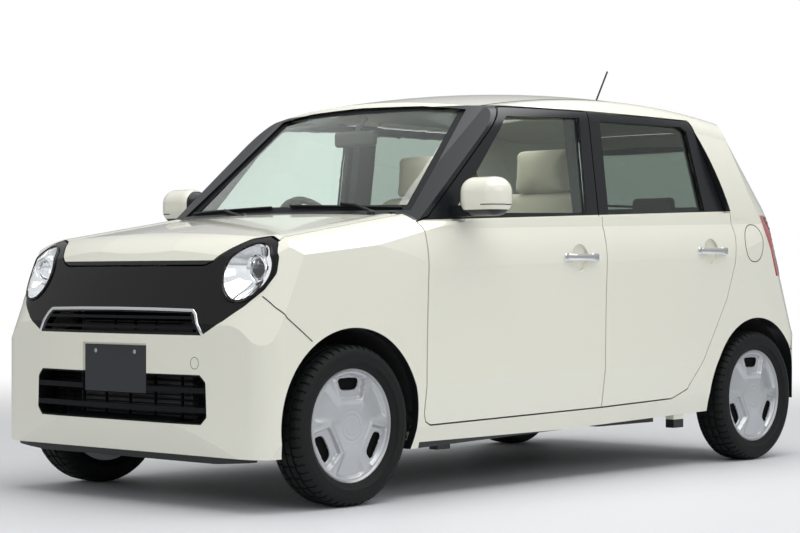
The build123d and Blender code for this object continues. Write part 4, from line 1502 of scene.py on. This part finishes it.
@dataclass
class Seams:
    """Dark joint lines where fixed panels meet, and the fuel lid."""

    width: float = 0.0036
    side_lines: dict[str, tuple[Flat, ...]] = field(
        default_factory=lambda: {
            "nose_joint": (
                (1.428, 0.5724), (1.4845, 0.613), (1.5402, 0.652), (1.5709, 0.6887), (1.5886, 0.724),
            ),
            "tail_joint": ((-1.600, 0.475), (-1.566, 0.471), (-1.640, 0.566)),
        }
    )
    fuel_lid: tuple[float, float, float, float] = (-1.259, 0.937, 0.071, 0.080)
    lid_steps: int = 72
    lid_power: float = 0.9
    ditch: tuple[Flat, ...] = ((0.330, 0.528), (-0.40, 0.532), (-1.36, 0.524))

    def build(self, nodes: Nodes) -> None:
        """Lays each joint line on both sides of the car.

        Args:
            nodes: The CAD nodes by name.
        """
        frames = ("side_frame_left", "side_frame_right")
        names = ("fenders", "front_bumper", "rear_bumper", *frames, "tailgate", "tail_lamps")
        skin = Skin(*(nodes[n] for n in names))
        lines = []
        for name, flat in self.side_lines.items():
            for side, sign in SIDES.items():
                route = skin.route(flat, "side", sign, pitch=0.004)
                lines.append(Skin.ribbon(f"{name}_{side}", route, self.width, 0.0008, 0.002))
        route = skin.route(self._lid_ring(), "side", closed=True)
        lines.append(Skin.ribbon("fuel_lid", route, self.width, 0.0005, 0.002, closed=True))
        roof = Skin(nodes["roof_panel"], *(nodes[n] for n in frames))
        for side, sign in SIDES.items():
            route = roof.route(self.ditch, "above", sign)
            lines.append(Skin.ribbon(f"roof_ditch_{side}", route, 0.007, 0.0006, 0.002))
        Bench.finish(Bench.joined("panel_joints", lines), SEAM, "body", "black_plastic")

    def _lid_ring(self) -> list[Flat]:
        """Gives the fuel lid's outline, a slightly squared oval."""
        x, z, wide, high = self.fuel_lid
        ring = []
        for step in range(self.lid_steps):
            turn = math.tau * step / self.lid_steps
            c, s = math.cos(turn), math.sin(turn)
            across = math.copysign(abs(c) ** self.lid_power, c)
            up = math.copysign(abs(s) ** self.lid_power, s)
            ring.append((x + wide * across, z + high * up))
        return ring


@dataclass(frozen=True)
class Pad:
    """One kind of seat pad.

    Attributes:
        name: Name of the piece.
        outline: Side view in x and z, in metres.
        rows: Middle of each copy across the car.
        half_width: Half width of the pad.
        seams: Distances of the sewn lines from the pad's middle.
        seam_face: Direction that the sewn face looks in.
        finish: Its cloth.
    """

    name: str
    outline: tuple[Flat, ...]
    rows: tuple[float, ...]
    half_width: float
    seams: tuple[float, ...]
    seam_face: Point
    finish: Finish


@dataclass
class Seats:
    """Seat pads, swollen by a short cloth run between their sewn lines."""

    voxel: float = 0.012
    frames: int = 20
    pressure: float = 4.0
    cap: float = 0.018
    rounding: float = 0.030
    front_rows: Flat = (0.33, -0.33)
    rear_rows: Flat = (0.29, -0.29)
    post_step: float = 0.045
    post_radius: float = 0.006

    def build(self) -> None:
        """Makes every pad once, copies it across the car and adds the posts."""
        cushion = (
            (-0.175, 0.345), (0.290, 0.345), (0.312, 0.395),
            (0.300, 0.448), (-0.050, 0.440), (-0.165, 0.420),
        )
        back = ((-0.085, 0.470), (-0.262, 1.118), (-0.328, 1.140), (-0.366, 1.116), (-0.208, 0.450))
        rest = ((-0.262, 1.136), (-0.274, 1.300), (-0.308, 1.316), (-0.346, 1.306), (-0.356, 1.140))
        bench = ((-0.975, 0.450), (-0.565, 0.450), (-0.545, 0.515), (-0.570, 0.548), (-0.950, 0.545))
        bench_back = ((-0.975, 0.580), (-1.085, 1.012), (-1.155, 1.014), (-1.095, 0.600))
        bench_rest = ((-1.105, 1.040), (-1.114, 1.140), (-1.150, 1.143), (-1.156, 1.044))
        up, ahead = (0.0, 0.0, 1.0), (1.0, 0.0, 0.3)
        pair, middle = self.front_rows, (0.0,)
        two, three = (-0.13, 0.13), (-0.27, 0.0, 0.27)
        pads = (
            Pad("front_cushion_pads", cushion, pair, 0.222, two, up, BEIGE_CLOTH),
            Pad("front_back_pads", back, pair, 0.222, two, ahead, BEIGE_CLOTH),
            Pad("front_head_pads", rest, pair, 0.130, (), ahead, BEIGE_CLOTH),
            Pad("rear_bench_pad", bench, middle, 0.545, three, up, DARK_CLOTH),
            Pad("rear_back_pad", bench_back, middle, 0.545, three, ahead, DARK_CLOTH),
            Pad("rear_head_pads", bench_rest, self.rear_rows, 0.110, (), ahead, DARK_CLOTH),
        )
        made = {pad.name: self._pad(pad) for pad in pads}
        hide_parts("front_seats")
        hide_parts("rear_seat")
        self._posts()

    def _pad(self, pad: Pad) -> Piece:
        """Makes one kind of pad and its copies as one piece.

        Args:
            pad: Outline, rows and cloth of the pad.

        Returns:
            The finished pads.
        """
        count = len(pad.outline)
        points = [(x, side * pad.half_width, z) for side in (-1, 1) for x, z in pad.outline]
        faces = [tuple(range(count)), tuple(range(2 * count - 1, count - 1, -1))]
        faces += [(i, i + count, (i + 1) % count + count, (i + 1) % count) for i in range(count)]
        piece = Bench.clean(Bench.mesh(pad.name, points, [], faces))
        Bench.rounded(piece, self.rounding, 4, 25)
        piece.data.remesh_voxel_size = self.voxel
        Bench.pick(piece)
        bpy.ops.object.voxel_remesh()
        self._swell(piece, pad)
        Bench.modify(piece, "SMOOTH", factor=0.5, iterations=2)
        Bench.modify(piece, "SUBSURF", levels=1, render_levels=1)
        copies = [piece]
        for row in pad.rows[1:]:
            copy = piece.copy()
            copy.data = piece.data.copy()
            bpy.context.scene.collection.objects.link(copy)
            copy.location.y = row
            copies.append(copy)
        piece.location.y = pad.rows[0]
        whole = Bench.settle(Bench.joined(pad.name, [Bench.settle(c) for c in copies]))
        Bench.finish(whole, pad.finish, "body", "seat_fabric", 80)
        return whole

    def _swell(self, piece: Piece, pad: Pad) -> None:
        """Lets the pad swell under pressure, held along its sewn lines and its foot.

        Args:
            piece: The pad's mesh, which is changed.
            pad: Where its sewn lines lie.
        """
        face = Vector(pad.seam_face).normalized()
        sewn = []
        for vertex in piece.data.vertices:
            on_seam = any(abs(vertex.co.y - seam) < 0.6 * self.voxel for seam in pad.seams)
            towards = vertex.normal.dot(face)
            if (on_seam and towards > 0.4) or towards < -0.85:
                sewn.append(vertex.index)
        group = piece.vertex_groups.new(name="sewn")
        group.add(sewn, 1.0, "REPLACE")
        cloth = piece.modifiers.new("swell", "CLOTH")
        cloth.settings.quality = 4
        cloth.settings.use_pressure = True
        cloth.settings.uniform_pressure_force = self.pressure
        cloth.settings.effector_weights.gravity = 0.0
        cloth.settings.vertex_group_mass = group.name
        cloth.point_cache.frame_end = self.frames
        before = [vertex.co.copy() for vertex in piece.data.vertices]
        for frame in range(1, self.frames + 1):
            bpy.context.scene.frame_set(frame)
        graph = bpy.context.evaluated_depsgraph_get()
        after = [vertex.co.copy() for vertex in piece.evaluated_get(graph).data.vertices]
        piece.modifiers.remove(cloth)
        for vertex, start, end in zip(piece.data.vertices, before, after):
            move = end - start
            if move.length > self.cap:
                move *= self.cap / move.length
            vertex.co = start + move
        piece.vertex_groups.clear()
        bpy.context.scene.frame_set(1)

    def _posts(self) -> None:
        """Adds the bright posts of the head rests."""
        rows = (
            ("front_post", self.front_rows, (-0.308, 1.07), (-0.312, 1.19)),
            ("rear_post", self.rear_rows, (-1.120, 0.99), (-1.128, 1.06)),
        )
        posts = []
        for name, middles, foot, top in rows:
            for y in [m + side for m in middles for side in (-self.post_step, self.post_step)]:
                line = [(foot[0], y, foot[1]), (top[0], y, top[1])]
                posts.append(Bench.rod(name, line, self.post_radius))
        Bench.finish(Bench.joined("head_rest_posts", posts), CHROME, "body", "bright_handle", 50)


@dataclass
class Screen:
    """Wipers on the screen and the mirror behind it."""

    blades: tuple[tuple[Flat, Flat], ...] = (
        ((0.560, 1.036), (0.075, 1.050)),
        ((-0.020, 1.046), (-0.560, 1.036)),
    )
    pivots: tuple[Flat, ...] = ((0.500, 1.016), (-0.100, 1.018))
    blade_lift: float = 0.010

    def build(self, nodes: Nodes) -> None:
        """Builds both wipers and the inner mirror.

        Args:
            nodes: The CAD nodes by name.
        """
        glass = Skin(nodes["windshield"], nodes["cowl"])
        parts = []
        for number, ((start, end), pivot) in enumerate(zip(self.blades, self.pivots)):
            route = glass.route((start, end), "front", pitch=0.03)
            line = [place + normal * self.blade_lift for place, normal in route]
            foot = [place + normal * 0.004 for place, normal in route]
            middle = line[len(line) // 2]
            root, out = glass.route((pivot, pivot), "front")[0]
            parts.append(Bench.rod(f"wiper_spine_{number}", line, 0.0045))
            parts.append(Bench.rod(f"wiper_lip_{number}", foot, 0.0030))
            arm = [root + out * 0.012, root.lerp(middle, 0.5) + out * 0.020, middle + out * 0.010]
            parts.append(Bench.rod(f"wiper_arm_{number}", arm, 0.0060))
            cap = [(0.0, 0.014), (0.010, 0.014), (0.015, 0.011), (0.017, 0.0005)]
            parts.append(Bench.turned(f"wiper_cap_{number}", cap, root, out, 24))
        Bench.finish(Bench.joined("front_wipers", parts), SATIN_BLACK, "body", "black_plastic", 50)
        self._mirror()

    def _mirror(self) -> None:
        """Builds the inner mirror with its stalk."""
        shell = Bench.block("inner_mirror", (0.430, -0.035, 1.335), (0.034, 0.215, 0.062))
        Bench.rounded(shell, 0.014, 4)
        Bench.sunk_face(shell, 0.004, 0.002)
        line = [(0.437, -0.03, 1.350), (0.430, -0.012, 1.385), (0.402, 0.0, 1.418)]
        stalk = Bench.rod("mirror_stalk", line, 0.009)
        mirror = Bench.joined("inner_mirror", [shell, stalk])
        Bench.finish(mirror, DASH_PLASTIC, "body", "black_plastic", 40)


@dataclass
class DoorTrim:
    """Mirror panes and slots, and the bright handles' grips."""

    pane_radii: Flat = (0.058, 0.042)
    pane_rings: int = 8
    pane_steps: int = 48
    slot_level: float = 0.040
    slot_pitch: float = 0.004

    def build(self, nodes: Nodes) -> None:
        """Dresses the four doors.

        Args:
            nodes: The CAD nodes by name.
        """
        for side, sign in SIDES.items():
            self._mirror(side, sign, nodes[f"mirror_{side}"])
            for row in ("front", "rear"):
                self._handle(row, side, sign)

    def _mirror(self, side: str, sign: int, node: Piece) -> None:
        """Adds the mirror's pane and the dark slot round its housing.

        Args:
            side: Left or right.
            sign: 1 for the left side of the car, -1 for the right.
            node: The mirror's CAD node.
        """
        low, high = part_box(f"mirror_{side}")
        middle = (low + high) / 2
        length = high.x - low.x
        skin = Skin(node)
        self._pane(side, skin, Vector((low[0], middle.y + sign * 0.030, middle.z + 0.006)))
        level = low[2] + self.slot_level
        count = int((length - 0.05) / self.slot_pitch)
        flat = [(low[0] + 0.03 + i * self.slot_pitch, level) for i in range(count)]
        route = skin.route(flat, "side", sign)
        out = abs(high[1] if sign > 0 else low[1])
        wrap = [(y, level) for y in self._steps(out - 0.02, out - 0.075)]
        route += skin.route(wrap, "front", sign)
        if len(route) > 3:
            slot = Skin.ribbon(f"mirror_slot_{side}", route, 0.0035, 0.0006, 0.002)
            Bench.finish(slot, SEAM, f"front_door_{side}", "black_plastic")

    def _pane(self, side: str, skin: Skin, heart: Vector) -> None:
        """Lays the mirror's glass on the back of its housing.

        Args:
            side: Left or right.
            skin: Outer faces of the housing.
            heart: Middle of the pane.
        """
        points: list[Vector] = []
        for ring in range(1, self.pane_rings + 1):
            for step in range(self.pane_steps):
                share, turn = ring / self.pane_rings, math.tau * step / self.pane_steps
                y = heart.y + share * self.pane_radii[0] * math.cos(turn)
                z = heart.z + share * self.pane_radii[1] * math.sin(turn)
                place, normal = skin.hit((heart.x - 1.0, y, z), (1, 0, 0))
                points.append(place + normal * 0.002)
        faces = Bench.disc(self.pane_rings, self.pane_steps)
        pane = Bench.clean(Bench.mesh(f"mirror_pane_{side}", points, [], faces))
        Bench.modify(pane, "SOLIDIFY", thickness=0.004, offset=0.0)
        Bench.finish(pane, CHROME, f"front_door_{side}", "bright_handle", 40)

    def _steps(self, start: float, end: float) -> list[float]:
        """Gives even steps of about the slot's pitch from start to end."""
        count = max(int(abs(end - start) / self.slot_pitch), 2)
        return [start + (end - start) * i / count for i in range(count + 1)]

    def _handle(self, row: str, side: str, sign: int) -> None:
        """Replaces the handle's plain bar by a rounded grip with its lock end.

        Args:
            row: Front or rear.
            side: Left or right.
            sign: 1 for the left side of the car, -1 for the right.
        """
        low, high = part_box(f"{row}_handle_{side}")
        out = high[1] if sign > 0 else low[1]
        mid_z = (low[2] + high[2]) / 2
        ends = [low[0] + 0.006, low[0] + 0.035, (low[0] + high[0]) / 2, high[0] - 0.035, high[0] - 0.006]
        depth = [0.022, 0.010, 0.008, 0.010, 0.022]
        line = [(x, out - sign * d, mid_z) for x, d in zip(ends, depth)]
        grip = Bench.rod(f"{row}_grip_{side}", line, 0.0075, fine=5)
        for vertex in grip.data.vertices:
            vertex.co.z = mid_z + (vertex.co.z - mid_z) * 1.85
        lock_place = (low[0] + 0.022, out - sign * 0.014, mid_z)
        lock = Bench.block(f"{row}_lock_{side}", lock_place, (0.044, 0.018, 0.033))
        Bench.rounded(lock, 0.006, 3)
        heel_place = (high[0] - 0.016, out - sign * 0.018, mid_z)
        heel = Bench.block(f"{row}_heel_{side}", heel_place, (0.030, 0.016, 0.030))
        Bench.rounded(heel, 0.006, 3)
        whole = Bench.joined(f"{row}_handle_bar_{side}", [grip, lock, heel])
        Bench.finish(whole, CHROME, f"{row}_door_{side}", "bright_handle", 50)
        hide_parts(f"{row}_handle_{side}")


@dataclass
class RearTrim:
    """Blank plate, handle, wiper and stop lamp on the tailgate, and the bumper's reflectors."""

    plate: tuple[float, float, float, float] = (0.0, 0.700, 0.165, 0.0825)
    handle: tuple[Flat, ...] = ((-0.235, 0.815), (0.235, 0.815))
    wiper: tuple[Flat, ...] = ((0.02, 1.110), (-0.30, 1.128))
    stop_lamp: tuple[Flat, ...] = ((-0.13, 1.405), (0.13, 1.405))
    reflector: tuple[Flat, ...] = ((0.49, 0.420), (0.57, 0.420))
    lamp_frame: tuple[Flat, ...] = ((0.562, 0.806), (0.700, 0.806), (0.690, 1.050), (0.562, 1.050))
    lamp_ribs: tuple[float, ...] = (0.905, 0.930, 0.955, 0.980, 1.005, 1.030)
    clear_level: float = 0.848

    def build(self, nodes: Nodes) -> None:
        """Builds the rear pieces on the skin of the tail.

        Args:
            nodes: The CAD nodes by name.
        """
        gate = Skin(nodes["tailgate"], nodes["tailgate_glass"])
        self._plate(gate)
        route = gate.route(self.handle, "back", pitch=0.02)
        bar = Skin.ribbon("tailgate_handle", route, 0.034, 0.006, 0.003)
        Bench.finish(Bench.rounded(bar, 0.005, 3), CHROME, "tailgate", "bright_handle", 50)
        route = gate.route(self.stop_lamp, "back", pitch=0.02)
        lamp = Skin.ribbon("stop_lamp", route, 0.020, 0.005, 0.003)
        Bench.finish(Bench.rounded(lamp, 0.002, 2), RED_LENS, "tailgate", "lamp_red", 50)
        self._wiper(gate)
        self._tail_lamps(Skin(nodes["tail_lamps"]))
        bumper = Skin(nodes["rear_bumper"])
        glints = []
        for side, sign in SIDES.items():
            route = bumper.route(self.reflector, "back", sign, pitch=0.01)
            glint = Skin.ribbon(f"reflector_{side}", route, 0.032, 0.003, 0.003)
            glints.append(Bench.rounded(glint, 0.0012, 2))
        Bench.finish(Bench.joined("rear_reflectors", glints), RED_LENS, "body", "lamp_red", 50)

    def _plate(self, gate: Skin) -> None:
        """Sets the blank plate on the tailgate.

        Args:
            gate: Outer faces of the tailgate.
        """
        y, z, wide, high = self.plate
        middle = gate.route(((y, z), (y, z)), "back")[0][0]
        plate = Bench.block("rear_plate", (middle.x + 0.001, y, z), (0.006, 2 * wide, 2 * high))
        Bench.rounded(plate, 0.002, 2)
        Bench.sunk_face(plate, 0.006, 0.0015)
        Bench.finish(plate, PLATE_GREY, "tailgate", "plate")

    def _wiper(self, gate: Skin) -> None:
        """Lays the rear wiper with its cap on the glass.

        Args:
            gate: Outer faces of the tailgate.
        """
        route = gate.route(self.wiper, "back", pitch=0.03)
        spine = [place + normal * 0.012 for place, normal in route]
        foot = [place + normal * 0.005 for place, normal in route]
        root, out = route[0]
        cap = ((0.0, 0.020), (0.014, 0.019), (0.020, 0.014), (0.022, 0.0005))
        parts = [
            Bench.rod("rear_wiper_arm", spine, 0.006),
            Bench.turned("rear_wiper_cap", cap, root, out, 24),
            Bench.rod("rear_wiper_lip", foot, 0.003),
        ]
        Bench.finish(Bench.joined("rear_wiper", parts), SATIN_BLACK, "tailgate", "black_plastic", 50)

    def _tail_lamps(self, skin: Skin) -> None:
        """Adds the frame, the ribs and the clear lower lens of both tail lamps.

        Args:
            skin: Outer faces of the lamps.
        """
        frames, ribs, lenses = [], [], []
        for side, sign in SIDES.items():
            loop = skin.route(self.lamp_frame, "back", sign, pitch=0.01, closed=True)
            frames.append(Skin.ribbon(f"tail_lamp_frame_{side}", loop, 0.004, 0.0012, 0.002, closed=True))
            for level in self.lamp_ribs:
                route = skin.route(((0.570, level), (0.688, level)), "back", sign, pitch=0.01)
                ribs.append(Skin.ribbon(f"tail_lamp_rib_{side}", route, 0.006, 0.0025, 0.002))
            level = self.clear_level
            route = skin.route(((0.572, level), (0.690, level)), "back", sign, pitch=0.01)
            lens = Skin.ribbon(f"reversing_lens_{side}", route, 0.056, 0.003, 0.002)
            lenses.append(Bench.rounded(lens, 0.001, 2))
        Bench.finish(Bench.joined("tail_lamp_frames", frames), SATIN_BLACK, "body", "black_plastic", 40)
        Bench.finish(Bench.joined("tail_lamp_ribs", ribs), RED_RIB, "body", "lamp_red", 40)
        Bench.finish(Bench.joined("reversing_lenses", lenses), CLEAR_LENS, "body", "lamp_clear", 40)


def main() -> None:
    """Builds the car's pieces in order."""
    logging.basicConfig(level=logging.INFO, format="%(name)s: %(message)s")
    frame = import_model()
    bpy.ops.object.select_all(action="DESELECT")
    Studio().build()
    nodes = frame["nodes"]
    Bodywork(nodes).dress()
    Wheels().build()
    Lamps().build(nodes)
    FrontTrim().build(nodes)
    Seams().build(nodes)
    Seats().build()
    Screen().build(nodes)
    DoorTrim().build(nodes)
    RearTrim().build(nodes)


if __name__ == "__main__":
    main()
